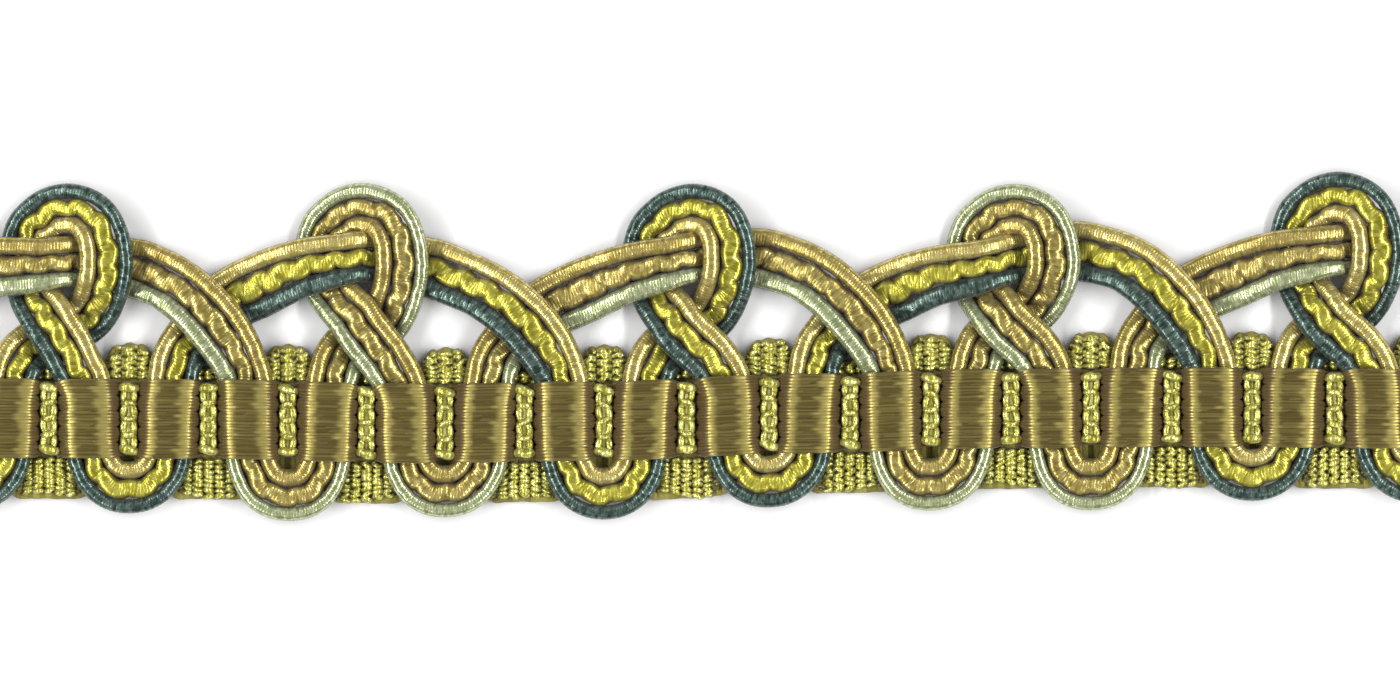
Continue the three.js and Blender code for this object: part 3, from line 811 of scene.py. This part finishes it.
@dataclass
class Cord:
    """One cord of a band, wrapped in fine thread or crinkled: its section, its fine
    ridges, its crinkle, the rocking of its oval section, where its neighbours' near
    sides are and how far it widens towards them."""

    name: str
    node: str
    slot: str
    band: Band
    lay: Lay
    finish: Finish
    radius: float
    flat: float
    sides: int = 12
    table_gap: float = 0.02
    ridge: float = 0.012
    ridge_pitch: float = 0.3
    wave_reach: float = 0.1
    wave_length: float = 2.7
    wave_stray: float = 0.9
    stray_pace: float = 1.3
    oval: float = 0.15
    rock: float = 0.45
    rock_early: float = 0.8
    rock_twice: float = 0.35
    jitter: float = 0.05
    beside_smooth: float = 0.92
    beside_round: float = 0.72
    round_close: float = 1.7
    round_spread: float = 2.0
    round_widest: float = 1.4
    narrowest: float = 0.82
    widest: float = 1.45
    uneven: float = 0.025
    dark_from: float = 0.7
    seed: float = 0.0

    def beat(self, s: Array) -> Array:
        """The phase of the crinkle: even waves, each a little early or late."""
        stray = self.wave_stray * ripple(self.stray_pace * s, self.seed + 1)
        return 2 * np.pi * s / self.wave_length + stray

    def line(self, route: Route) -> tuple[Array, Array]:
        """The cord's middle line beside the band's own.

        The smooth cord is inner to the left, the round one outer to the right, and
        the crinkled one swings by the sine of its beat.

        Args:
            route: The bands' route.

        Returns:
            The line's points, and the distance along the band at each.
        """
        path, s = route.path(self.band)
        ahead = np.gradient(path[:, :2], axis=0)
        left = np.column_stack([-ahead[:, 1], ahead[:, 0]])
        left /= np.linalg.norm(ahead, axis=1)[:, None]
        beside = {
            Lay.SMOOTH: path[:, INNER],
            Lay.ROUND: -path[:, OUTER],
            Lay.WAVE: self.wave_reach * np.sin(self.beat(s)),
        }[self.lay]
        points = path[:, :3].copy()
        points[:, :2] += left * beside[:, None]
        points[:, Z] = np.maximum(points[:, Z], self.radius * self.flat + self.table_gap)
        return points, s

    def spread(self, path: Array) -> tuple[Array, Array]:
        """How far the cord flattens to each side where the band has room.

        The round cord widens with its distance from the crinkled one, and the crinkled
        one up to its neighbours.

        Args:
            path: The band's sections.

        Returns:
            The factors by which it is wider to the left and to the right.
        """
        even = np.ones(len(path))
        if self.lay is Lay.SMOOTH:
            return even, even
        room = path[:, OUTER] - self.round_close
        outer = np.clip(1 + self.round_spread * room, 1.0, self.round_widest)
        if self.lay is Lay.ROUND:
            return outer, outer
        half = self.radius * (1 + self.oval)
        left = (path[:, INNER] - self.beside_smooth) / half
        right = (path[:, OUTER] - self.beside_round * outer) / half
        limits = (self.narrowest, self.widest)
        return np.clip(left, *limits), np.clip(right, *limits)

    def dark(self, angle: Array) -> Array:
        """The shade round the cord, dark on each flank that has a neighbour.

        Args:
            angle: Angles from the left, turning up.

        Returns:
            The shade at each, an ease of how far its cosine is past dark_from.
        """
        left = ramp(np.cos(angle), self.dark_from, 1.0)
        right = ramp(-np.cos(angle), self.dark_from, 1.0)
        return {Lay.SMOOTH: right, Lay.ROUND: left, Lay.WAVE: left + right}[self.lay]

    def surface(self, route: Route) -> Surface:
        """The cord's skin.

        Its radius has fine ridges, a sine of the phase along / pitch + the share of
        the way round, and slow unevenness. Each turn of thread is also a little oval
        its own way, and the cord widens where the band spreads. A crinkled cord's
        section is oval as a whole, and the oval rocks to and fro by the sine of the
        beat and a third as much at twice it.

        Args:
            route: The bands' route.

        Returns:
            The surface.
        """
        points, s = self.line(route)
        angle = 2 * np.pi * np.arange(self.sides) / self.sides
        phase = s[:, None] / self.ridge_pitch + angle[None, :] / (2 * np.pi)
        radius = self.radius * (1 + self.uneven * ripple(s, self.seed))[:, None]
        radius = radius + self.ridge * np.sin(2 * np.pi * phase)
        rng = np.random.default_rng(round(10 * self.seed))
        own = rng.uniform(-1, 1, int(phase.max()) + 2)
        own = np.interp(phase, np.arange(len(own)), own)
        radius = radius * (1 + self.jitter * own * np.sin(2 * angle))
        left, right = self.spread(route.path(self.band)[0])
        widen = np.where(np.cos(angle) > 0, left[:, None], right[:, None]) - 1
        radius = radius * (1 + widen * np.cos(angle) ** 2)
        if self.lay is Lay.WAVE:
            beat = self.beat(s)
            tilt = np.sin(beat + self.rock_early) + self.rock_twice * np.sin(2 * beat)
            turned = angle[None, :] - self.rock * tilt[:, None]
            radius = radius * (1 + self.oval * np.cos(2 * turned))
        return thread(points[None], radius[None], self.sides, self.dark(angle), self.flat)

    def build(self, route: Route, wrap: Group) -> Piece:
        """Builds and dresses the cord in place of its solid."""
        material = self.finish.material(wrap)
        return place(self.name, self.surface(route), material, self.node, self.slot)


@dataclass
class Columns:
    """Where the weft's columns stand, inside each turn and between each two."""

    shift: float = 0.2
    margin: float = 1.2

    def inside(self) -> Array:
        """X of the columns inside the turns."""
        return TURN_X + self.shift

    def between(self) -> Array:
        """X of the columns between the turns."""
        return (TURN_X[1:] + TURN_X[:-1]) / 2 + self.shift

    def all(self) -> Array:
        """X of all columns from left to right."""
        return np.sort(np.concatenate([self.inside(), self.between()]))

    def whole(self, *values: Array) -> list[Array]:
        """Combines each column that is clear of the cuts with every value given.

        Args:
            values: Further values, such as rows.

        Returns:
            X of the columns and each of the values, every one of shape (count, 1).
        """
        x = self.all()
        x = x[(x > CUT_LEFT + self.margin) & (x < CUT_RIGHT - self.margin)]
        return [a.reshape(-1, 1) for a in np.meshgrid(x, *values, indexing="ij")]


TIE_ROWS = np.array([3.1, 1.55, 0.0, -1.55, -3.1])
YARN_SIDES = 8


@dataclass
class SatinBand:
    """The warp floats: fine threads that lie taut over the cords' legs and are held
    down in bundles by the ties of each column."""

    columns: Columns
    in_bundle: int = 5
    pitch: float = 0.32
    pinch: float = 0.5
    radius: float = 0.23
    clear: float = 0.8
    sides: int = 6
    step: float = 0.26
    hold_level: float = 1.45
    hold_half: float = 0.6
    hold_fade: float = 1.1
    stagger: float = 0.22
    slack: Pair = (-0.05, 0.04)
    dome: float = 0.35
    cord_top: tuple[int, int, int] = (15, 165, 9)
    cord_near: float = 1.0
    # From here to bare: the painted highlight on the outer cords' tops, and the painted shade
    # outside them and where no cord passes.
    reach_left: Pair = (0.0, 0.45)
    reach_right: Pair = (0.1, 1.1)
    reach_fade: Pair = (0.5, 0.7)
    shine_edge: float = 0.4
    dark_gap: float = 0.25
    outer_less: float = 0.25
    painted_shine: float = 0.75
    dark: float = 0.95
    bare_shade: float = 0.5
    soften: tuple[float, ...] = (0.25, 0.5, 0.25)
    stray: float = 0.03
    lift: float = 0.02
    seed: int = 4

    def rows(self) -> tuple[Array, Array]:
        """Y of each thread, and of the tie that holds it."""
        places = (np.arange(self.in_bundle) - (self.in_bundle - 1) / 2) * self.pitch
        ties = np.repeat(TIE_ROWS, self.in_bundle)
        return ties + np.tile(places, len(TIE_ROWS)), ties

    def crossings(self, y: float, lines: list[Line]) -> Array:
        """Where cords cross a thread's row.

        Args:
            y: The row.
            lines: The cords' lines.

        Returns:
            Rows of x, z and the width and height over z at which the thread passes.
        """
        found = []
        for line, radius, flat in lines:
            level = line[:, Y] - lie(line[:, X]) - y
            crosses = (level[:-1] * level[1:] <= 0) & (np.abs(level[:-1]) < self.cord_near)
            i = np.nonzero(crosses)[0]
            t = level[i] / (level[i] - level[i + 1])
            hit = line[i] + (line[i + 1] - line[i]) * t[:, None]
            over = np.array([radius, radius * flat]) + self.radius * self.clear
            found.append(np.column_stack([hit[:, [X, Z]], np.tile(over, (len(i), 1))]))
        return np.vstack(found)

    def patch(self, xs: Array, stops: Pair, legs: Array, rng: Draws) -> Array:
        """The height of one taut thread between two columns.

        It is the highest straight line that joins any two of the points it must pass,
        which are the tops of the cords and the two columns' ties, and on it a slack
        dome: one less the square of the share of the way from the middle to an end.

        Args:
            xs: Where to give the height.
            stops: X of the two columns.
            legs: Rows from crossings of the cords between them.
            rng: Small random slack.

        Returns:
            The height at each x.
        """
        angle = np.radians(np.linspace(*self.cord_top))
        slack = rng.uniform(*self.slack, (len(legs), 1))
        px = (legs[:, 0:1] + (legs[:, 2:3] + slack) * np.cos(angle)).ravel()
        pz = (legs[:, 1:2] + (legs[:, 3:4] + slack) * np.sin(angle)).ravel()
        ends = np.array([stops[0] + self.hold_half, stops[1] - self.hold_half])
        ends = ends + rng.uniform(-self.stagger, self.stagger, 2)
        px = np.concatenate([px, ends])
        pz = np.concatenate([pz, [self.hold_level, self.hold_level]])
        order = np.argsort(px)
        px, pz = px[order], pz[order]
        a, b = np.triu_indices(len(px), 1)
        run = np.maximum(px[b] - px[a], SMALL)
        column = xs[:, None]
        level = pz[a] + (pz[b] - pz[a]) * (column - px[a]) / run
        level = np.where((column >= px[a]) & (column <= px[b]), level, self.hold_level)
        middle = sum(stops) / 2
        share = (xs - middle) / np.abs(ends - middle).mean()
        top = np.maximum(level.max(axis=1), self.hold_level)
        return top + self.dome * np.clip(1 - share**2, 0, 1)

    def light(self, xs: Array, legs: Array, spread: float, rng: Draws) -> Array:
        """The painted shade and painted highlight of one thread between two columns.

        It gets a painted highlight (-1) on top of the first and last cord it passes, for a reach
        inwards that differs from thread to thread, and painted shade (1) outside them, where it
        dives to the ties.

        Args:
            xs: Where to give the shade.
            legs: Rows from crossings of the cords that it passes.
            spread: How far the thread's place in its bundle lengthens the reach.
            rng: The reaches.

        Returns:
            The shade at each x.
        """
        if len(legs) == 0:
            return np.full(len(xs), self.bare_shade)
        inwards = np.stack([xs - legs[:, 0].min(), legs[:, 0].max() - xs])
        reach = [rng.uniform(*self.reach_left), rng.uniform(*self.reach_right)]
        past = inwards - spread * np.array(reach)[:, None]
        fade = np.array(self.reach_fade)[:, None]
        lit = (ramp(inwards, -self.shine_edge, 0.0) * (1 - ramp(past, 0.0, fade))).max(axis=0)
        outwards = -inwards - self.dark_gap
        outside = ramp(outwards, 0.0, self.shine_edge).max(axis=0)
        return self.dark * outside - self.painted_shine * lit * (1 - outside)

    def surface(self, lines: list[Line]) -> Surface:
        """All threads, each drawn towards its tie near a column.

        Args:
            lines: The cords' lines.

        Returns:
            The surface.
        """
        rng = np.random.default_rng(self.seed)
        x = np.arange(CUT_LEFT, CUT_RIGHT + SMALL, self.step)
        rows, ties = self.rows()
        stops = self.columns.all()
        away = np.abs(x[:, None] - stops[None, :]).min(axis=1)
        held = 1 - ramp(away, self.hold_half, self.hold_half + self.hold_fade)
        places = np.arange(len(rows)) % self.in_bundle - (self.in_bundle - 1) / 2
        spreads = 1 - self.outer_less * np.abs(places)
        paths, shades = [], []
        for y, tie, spread in zip(rows, ties, spreads):
            level = tie + (y - tie) * (1 - (1 - self.pinch) * held)
            z, shade = np.full(len(x), self.hold_level), np.full(len(x), self.bare_shade)
            crossed = self.crossings(y, lines)
            for left, right in zip(stops[:-1], stops[1:]):
                inside = (x > left) & (x < right)
                legs = crossed[(crossed[:, 0] > left) & (crossed[:, 0] < right)]
                z[inside] = self.patch(x[inside], (left, right), legs, rng)
                shade[inside] = self.light(x[inside], legs, spread, rng)
            z = np.convolve(np.pad(z, 1, mode="edge"), self.soften, mode="valid")
            level = level + lie(x) + self.stray * ripple(x * 2, y)
            paths.append(np.column_stack([x, level, z + self.lift * ripple(x * 3, y * 5)]))
            shades.append(shade)
        shade = np.stack(shades)[..., None]
        start = starts(rng, len(rows))
        return thread(np.stack(paths), self.radius, self.sides, shade, start=start)

    def build(self, lines: list[Line], wrap: Group) -> Piece:
        """Builds and dresses the floats in place of the strip."""
        floats, material = self.surface(lines), SATIN.material(wrap)
        return place("satin_floats", floats, material, "satin_warp", "satin_warp")


def yarns(points: list[Array], radius: Array, shade: Array, flat: float, rng: Draws) -> Surface:
    """Tubes of weft yarn, each started anywhere in its own turns of thread.

    Args:
        points: X, y and z of the lines, which fit the shape (lines, points).
        radius: Radii of that shape.
        shade: Shades that fit it.
        flat: Height of a section as a share of its width.
        rng: Where each yarn starts.

    Returns:
        The surface.
    """
    lines = np.stack(np.broadcast_arrays(*points), -1)
    start = starts(rng, len(lines))
    return thread(lines, radius[..., None], YARN_SIDES, shade[..., None], flat, start)


@dataclass(frozen=True)
class Strand:
    """A short strand of weft: half its length, the height of its ends, how far and
    how roundly its middle rises over them, its radius, how uneven and how tapered it
    is, how dark its ends are and from which share, and its height over its width."""

    half: float
    low: float
    rise: float
    bend: float
    radius: float
    uneven: float
    taper: float
    dark: float
    dark_from: float
    flat: float

    def laid(self, x: Array, y: Array, t: Array, wave: Array, knob: Array, rng: Draws) -> Surface:
        """Tubes along lines in plan.

        The height is low + rise x (1 less t squared) to the power of bend. The radius
        grows by the wave and shrinks by taper x t to the power of four.

        Args:
            x: X of each line's points, of shape (lines, points).
            y: Y of the same points.
            t: The share of the way from the middle of each line to its ends.
            wave: The unevenness at the same points.
            knob: How much thicker each line is.
            rng: Where each yarn's own threads start.

        Returns:
            The surface.
        """
        z = self.low + self.rise * (1 - t**2) ** self.bend
        plump = (self.radius + knob) * (1 + self.uneven * wave) * (1 - self.taper * t**4)
        shade = self.dark * ramp(np.abs(t), self.dark_from, 1.0)
        return yarns([x, y, z], plump, shade, self.flat, rng)


TIE = Strand(
    half=0.78, low=1.75, rise=0.95, bend=0.6, radius=0.3, uneven=0.15, taper=0.35,
    dark=0.7, dark_from=0.7, flat=0.85,
)
PAIR = Strand(
    half=0.75, low=1.95, rise=0.55, bend=0.7, radius=0.32, uneven=0.12, taper=0.2,
    dark=0.6, dark_from=0.75, flat=1.0,
)


@dataclass
class Heading:
    """The woven ground: its cloth, and the yellow weft that shows past the satin. A
    core is the thick yarn in a column, and rungs are the rows of weft across cores."""

    columns: Columns
    height: float = 1.0
    top: float = 4.7
    top_in_turn: float = 7.0
    top_ease: Pair = (3.4, 1.0)
    bumps: float = 0.3
    bump_shift: float = 0.8
    foot: float = -7.7
    foot_under_turn: float = -6.2
    foot_ease: Pair = (5.0, 2.4)
    edge_stray: float = 0.08
    edge_pace: float = 2.6
    edge_round: float = 0.35
    cloth_steps: int = 420
    cloth_rows: int = 40
    weave_depth: float = 0.08
    weave_pitch: Pair = (0.9, 0.6)
    core_steps: int = 31
    core_half: float = 3.6
    core_level: float = 1.98
    core_stray: float = 0.08
    core_radius: float = 0.66
    core_taper: float = 0.6
    core_blunt: int = 12
    core_shade: float = 0.35
    core_flat: float = 0.8
    core_pitch_above: float = 1.6
    core_pitch_below: float = 1.1
    core_width: float = 0.33
    cores_reach: float = 2.2
    strand_steps: int = 11
    knob_from: float = 3.0
    knob_half: float = 0.16
    knob_radius: float = 0.18
    tie_tilt: float = 0.22
    tie_bend: float = 0.08
    pair_apart: float = 0.34
    pair_swell: float = 0.2
    pair_lean: float = 0.14
    rung_pitch: float = 0.46
    rung_steps: int = 40
    rungs_inside: Pair = (4.2, 7.1)
    rungs_between: Pair = (4.2, 4.8)
    rungs_below: Pair = (-4.25, -7.9)
    half_inside: float = 2.9
    half_narrowing: float = 1.5
    narrowing_ease: Pair = (5.0, 7.0)
    half_between: float = 1.3
    half_below: float = 3.3
    below_narrowing: float = 0.4
    below_narrow_from: float = 6.5
    rung_ragged: float = 0.25
    rung_cut: float = 0.1
    rung_shortest: float = 0.8
    rung_low: float = 0.85
    rung_rise: float = 0.62
    rung_stray: float = 0.15
    rung_lean: float = 0.16
    rung_lean_least: float = 0.3
    sway: float = 0.3
    sway_ease: Pair = (-4.0, -8.0)
    sway_pace: Pair = (1.7, 0.8)
    rung_radius: float = 0.27
    rung_slim: float = 0.85
    rung_swell: float = 0.3
    rung_uneven: float = 0.15
    rung_dark: float = 0.85
    rung_dark_ease: Pair = (0.45, 0.05)
    seed: int = 11

    def edges(self, x: Array) -> tuple[Array, Array]:
        """The cloth's scalloped edges.

        Args:
            x: Where to give them.

        Returns:
            Y of the foot and of the top at each x, both eased by the way to the
            nearest turn, the top with the size of a sine of that way added.
        """
        away = np.abs(x[:, None] - self.columns.inside()[None, :]).min(axis=1)
        top = self.top + (self.top_in_turn - self.top) * ramp(away, *self.top_ease)
        bump = np.sin(np.pi * (away + self.bump_shift) / self.core_pitch_above)
        top = top + self.bumps * np.abs(bump)
        foot = self.foot + (self.foot_under_turn - self.foot) * ramp(away, *self.foot_ease)
        stray = [self.edge_stray * ripple(x * self.edge_pace, seed) for seed in (1.0, 5.0)]
        return foot + stray[0], top + stray[1]

    def cloth(self) -> tuple[Surface, float]:
        """The cloth, a sheet with rounded edges and a shallow weave.

        Across it runs a closed section: flat below, rounded at both edges, and above
        a weave that is the product of a sine along and a sine across. The sections
        follow each other from right to left, so that the faces point outwards.

        Returns:
            The surface, and its flat area in square millimetres.
        """
        x = np.linspace(CUT_LEFT, CUT_RIGHT, self.cloth_steps)
        foot, top = self.edges(x)
        across = np.linspace(0, 1, self.cloth_rows)
        turn = np.linspace(np.pi / 2, -np.pi / 2, 7)[1:-1]
        flat, still, half = 0 * across, 0 * turn, self.height / 2
        curve = half * np.sin(turn)
        share = np.concatenate([across[::-1], still, across, 1 + still])
        out = np.concatenate([flat, -np.cos(turn), flat, np.cos(turn)]) * self.edge_round
        level = np.concatenate([flat + self.height, half + curve, flat, half - curve])
        upper = np.concatenate([np.sin(np.pi * across) > 0.02, still, flat, still])
        y = foot[:, None] + (top - foot)[:, None] * share[None, :]
        along, over = self.weave_pitch
        weave = np.sin(2 * np.pi * x[:, None] / along) * np.sin(2 * np.pi * y / over)
        z = level[None, :] + upper[None, :] * self.weave_depth * (weave - 1)
        y = y + out[None, :] + lie(x)[:, None]
        rings = np.stack([np.broadcast_to(x[:, None], y.shape), y, z], axis=-1)
        area = float(np.sum((top - foot + 2 * self.edge_round)[1:] * np.diff(x)))
        return loft(rings[None, ::-1, ::-1], x[None, ::-1], np.zeros(1)), area

    def cores(self, rng: Draws) -> Surface:
        """The thick yarn that fills each column under its ties.

        Args:
            rng: Where each yarn's own threads start.

        Returns:
            The surface.
        """
        (column,) = self.columns.whole()
        t = np.linspace(-1, 1, self.core_steps)[None, :]
        y = self.core_half * t + lie(column)
        z = self.core_level + self.core_stray * ripple(y * 3, 4.0)
        plump = self.core_radius * (1 - self.core_taper * np.abs(t) ** self.core_blunt)
        shade = np.full((1, 1), self.core_shade)
        return yarns([column, y, z], plump, shade, self.core_flat, rng)

    def ties(self, rng: Draws) -> Surface:
        """The short weft ties over the satin, one at each row of each column.

        Each runs along X with both ends tucked in, and those of the first and last
        row are thicker and longer.

        Args:
            rng: Small random tilts.

        Returns:
            The surface.
        """
        column, row = self.columns.whole(TIE_ROWS)
        knob = (np.abs(row) > self.knob_from).astype(float)
        t = np.linspace(-1, 1, self.strand_steps)[None, :]
        tilt = rng.uniform(-self.tie_tilt, self.tie_tilt, column.shape)
        x = column + (TIE.half + self.knob_half * knob) * t
        y = row + tilt * t + self.tie_bend * np.sin(3 * t + 5 * row) + lie(column)
        return TIE.laid(x, y, t, ripple(x * 4, 2.0), self.knob_radius * knob, rng)

    def pairs(self, rng: Draws) -> Surface:
        """The pairs of short strands between ties, bulging up and out between them.

        Args:
            rng: Small random tilts.

        Returns:
            The surface.
        """
        middles = (TIE_ROWS[1:] + TIE_ROWS[:-1]) / 2
        column, row, side = self.columns.whole(middles, [-1.0, 1.0])
        t = np.linspace(-1, 1, self.strand_steps)[None, :]
        lean = rng.uniform(-self.pair_lean, self.pair_lean, column.shape)
        x = column + side * (self.pair_apart + self.pair_swell * (1 - t**2)) + lean * t
        y = row + PAIR.half * t + lie(column)
        return PAIR.laid(x, y, t, ripple(y * 4, 1.0), 0 * column, rng)

    def rung_rows(self) -> list[tuple[float, float, float, float]]:
        """Where the rungs lie.

        Returns:
            Rows of the column's x, y, half the length and the pitch of the cores.
        """
        rows = []
        pitch, above, below = self.rung_pitch, self.core_pitch_above, self.core_pitch_below
        for level in np.arange(*self.rungs_inside, pitch):
            half = self.half_inside - self.half_narrowing * ramp(level, *self.narrowing_ease)
            rows += [(column, level, half, above) for column in self.columns.inside()]
        for level in np.arange(*self.rungs_between, pitch):
            half = self.half_between
            rows += [(column, level, half, below) for column in self.columns.between()]
        for level in np.arange(*self.rungs_below, -pitch):
            past = max(0.0, -level - self.below_narrow_from)
            half = self.half_below - self.below_narrowing * past
            rows += [(column, level, half, below) for column in self.columns.between()]
        return rows

    def rungs(self, rng: Draws) -> Surface:
        """The rows of weft that show above and below the satin, laid over cores.

        Each row is a tube along X. Its height and plumpness are a bell over each
        core, its ends lie low under the cords, and it is dark between the cores.

        Args:
            rng: Small random slack.

        Returns:
            The surface.
        """
        column, level, half, core_pitch = (a[:, None] for a in np.array(self.rung_rows()).T)
        ragged = [rng.uniform(-self.rung_ragged, self.rung_ragged, column.shape) for _ in range(2)]
        left = np.maximum(column - half + ragged[0], CUT_LEFT + self.rung_cut)
        right = np.minimum(column + half + ragged[1], CUT_RIGHT - self.rung_cut)
        keep = (right - left)[:, 0] > self.rung_shortest
        column, level, left, right, core_pitch = (
            a[keep] for a in (column, level, left, right, core_pitch)
        )
        x = left + (right - left) * np.linspace(0, 1, self.rung_steps)[None, :]
        off = (x - column) / core_pitch
        core = bell(off, np.round(off), self.core_width) * bell(off, 0.0, self.cores_reach)
        z = self.rung_low + self.rung_rise * core
        lean = np.where(rng.random(column.shape) < 0.5, -1.0, 1.0)
        lean = lean * rng.uniform(self.rung_lean_least, 1.0, column.shape)
        y = level + lie(column) + self.rung_stray * ripple(x * 5 + 9 * level, 1.7)
        y = y + self.rung_lean * lean * np.sin(2 * np.pi * off)
        sway = self.sway * ramp(level, *self.sway_ease)
        column_pace, core_pace = self.sway_pace
        y = y + sway * np.sin(column_pace * column + core_pace * off)
        plump = self.rung_radius * (self.rung_slim + self.rung_swell * core)
        plump = plump * (1 + self.rung_uneven * ripple(x * 6 + 5 * level, 3.3))
        shade = self.rung_dark * ramp(core, *self.rung_dark_ease)
        return yarns([x, y, z], plump, shade, 1.0, rng)

    def build(self, wrap: Group) -> list[Piece]:
        """Builds and dresses the cloth and its weft in place of the slab.

        Args:
            wrap: The group of wrapped thread.

        Returns:
            The two pieces.
        """
        rng = np.random.default_rng(self.seed)
        stands_for = ("ground_tape", "heading_weave")
        surface, area = self.cloth()
        cloth = place("heading_cloth", surface, CLOTH.material(wrap), *stands_for)
        weft = Surface.joined([self.cores(rng), self.ties(rng), self.pairs(rng), self.rungs(rng)])
        yarns = place("heading_weft", weft, WEFT.material(wrap), *stands_for)
        return [cloth, yarns]


@dataclass
class Studio:
    """The floor, the lights and the camera straight above the braid."""

    frame_width: float = 140.0
    look_at: tuple[float, float, float] = (70.0, 7.0, 2.0)
    distance: float = 1.2
    sensor: float = 36.0
    clip: Pair = (0.05, 10.0)
    light_angle: float = 44.0
    light_distance: float = 0.9
    strip_power: float = 8.0
    strip_size: Pair = (0.12, 1.3)
    sky: float = 0.3
    floor_reach: float = 3.0
    floor_grey: float = 0.93
    floor_roughness: float = 0.9
    floor_specular: float = 0.1

    def floor(self) -> None:
        """A pale plain floor just under the braid."""
        mesh = bpy.data.meshes.new("floor")
        signs = ((-1, -1), (1, -1), (1, 1), (-1, 1))
        corners = [(self.floor_reach * x, self.floor_reach * y, 0) for x, y in signs]
        mesh.from_pydata(corners, [], [(0, 1, 2, 3)])
        material = bpy.data.materials.new("pale_floor")
        material.use_nodes = True
        shader = material.node_tree.nodes["Principled BSDF"]
        shader.inputs["Base Color"].default_value = (*[self.floor_grey] * 3, 1.0)
        shader.inputs["Roughness"].default_value = self.floor_roughness
        shader.inputs["Specular IOR Level"].default_value = self.floor_specular
        mesh.materials.append(material)
        floor = add("floor", mesh)

    def strip(self, name: str, angle: float) -> None:
        """Adds one area light.

        Args:
            name: Its name.
            angle: Degrees from straight above towards +X.
        """
        light = bpy.data.lights.new(name, "AREA")
        light.shape = "RECTANGLE"
        light.size, light.size_y = self.strip_size
        light.energy = self.strip_power
        lamp = add(name, light)
        a = np.radians(angle)
        lamp.location = (self.light_distance * np.sin(a), 0.0, self.light_distance * np.cos(a))
        lamp.rotation_euler = (0.0, a, 0.0)

    def lights(self) -> None:
        """Two long strips left and right, and an even sky."""
        self.strip("strip_left", -self.light_angle)
        self.strip("strip_right", self.light_angle)
        world = bpy.data.worlds.new("even_sky")
        world.use_nodes = True
        sky = world.node_tree.nodes["Background"]
        sky.inputs["Color"].default_value = (1.0, 1.0, 1.0, 1.0)
        sky.inputs["Strength"].default_value = self.sky
        bpy.context.scene.world = world

    def camera(self) -> None:
        """A long lens straight above, whose frame is as wide as the photo's."""
        camera = bpy.data.cameras.new("camera")
        camera.sensor_width = self.sensor
        camera.lens = camera.sensor_width * self.distance / (self.frame_width * MM)
        camera.clip_start, camera.clip_end = self.clip
        holder = add("camera", camera)
        at = (np.array(self.look_at) - MIDDLE) * MM
        holder.location = (float(at[0]), float(at[1]), float(at[2]) + self.distance)
        bpy.context.scene.camera = holder

    def build(self) -> None:
        """Sets up the whole studio."""
        self.camera()
        self.floor()
        self.lights()
        bpy.context.scene.view_settings.view_transform = "Standard"


def cords() -> list[Cord]:
    """The six cords of the two bands."""
    return [
        Cord(
            "light_gold_cord", "cord_gold_a", "cord_light_gold", Band.A, Lay.SMOOTH, LIGHT_GOLD,
            radius=0.88, flat=0.76, seed=0.3,
        ),
        Cord(
            "yellow_crinkle_cord", "cord_wave_a", "cord_yellow_crinkle", Band.A, Lay.WAVE,
            YELLOW_CRINKLE, radius=0.78, flat=0.84, sides=16, wave_reach=0.13, seed=1.1,
        ),
        Cord(
            "teal_cord", "cord_teal_a", "cord_teal", Band.A, Lay.ROUND, TEAL,
            radius=0.7, flat=0.9, seed=2.2,
        ),
        Cord(
            "tan_gold_cord", "cord_olive_b", "cord_tan_gold", Band.B, Lay.SMOOTH, TAN_GOLD,
            radius=0.88, flat=0.76, seed=3.1,
        ),
        Cord(
            "gold_crinkle_cord", "cord_wave_b", "cord_gold_crinkle", Band.B, Lay.WAVE,
            GOLD_CRINKLE, radius=0.8, flat=0.84, sides=16, wave_reach=0.08, seed=4.4,
        ),
        Cord(
            "sage_cord", "cord_sage_b", "cord_sage", Band.B, Lay.ROUND, SAGE,
            radius=0.7, flat=0.9, seed=5.6,
        ),
    ]


def report(piece: Piece) -> None:
    """Logs a piece's name and number of triangles."""
    piece.data.calc_loop_triangles()
    LOG.info("%s: %d triangles", piece.name, len(piece.data.loop_triangles))


def main() -> None:
    """Builds the studio and every piece of the braid."""
    logging.basicConfig(level=logging.INFO, format="%(message)s")
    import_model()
    Studio().build()
    route = Route()
    wrap = WrappedThread().group()
    braid = cords()
    for cord in braid:
        report(cord.build(route, wrap))
    lines: list[Line] = [(cord.line(route)[0], cord.radius, cord.flat) for cord in braid]
    columns = Columns()
    report(SatinBand(columns).build(lines, wrap))
    for piece in Heading(columns).build(wrap):
        report(piece)


if __name__ == "__main__":
    main()
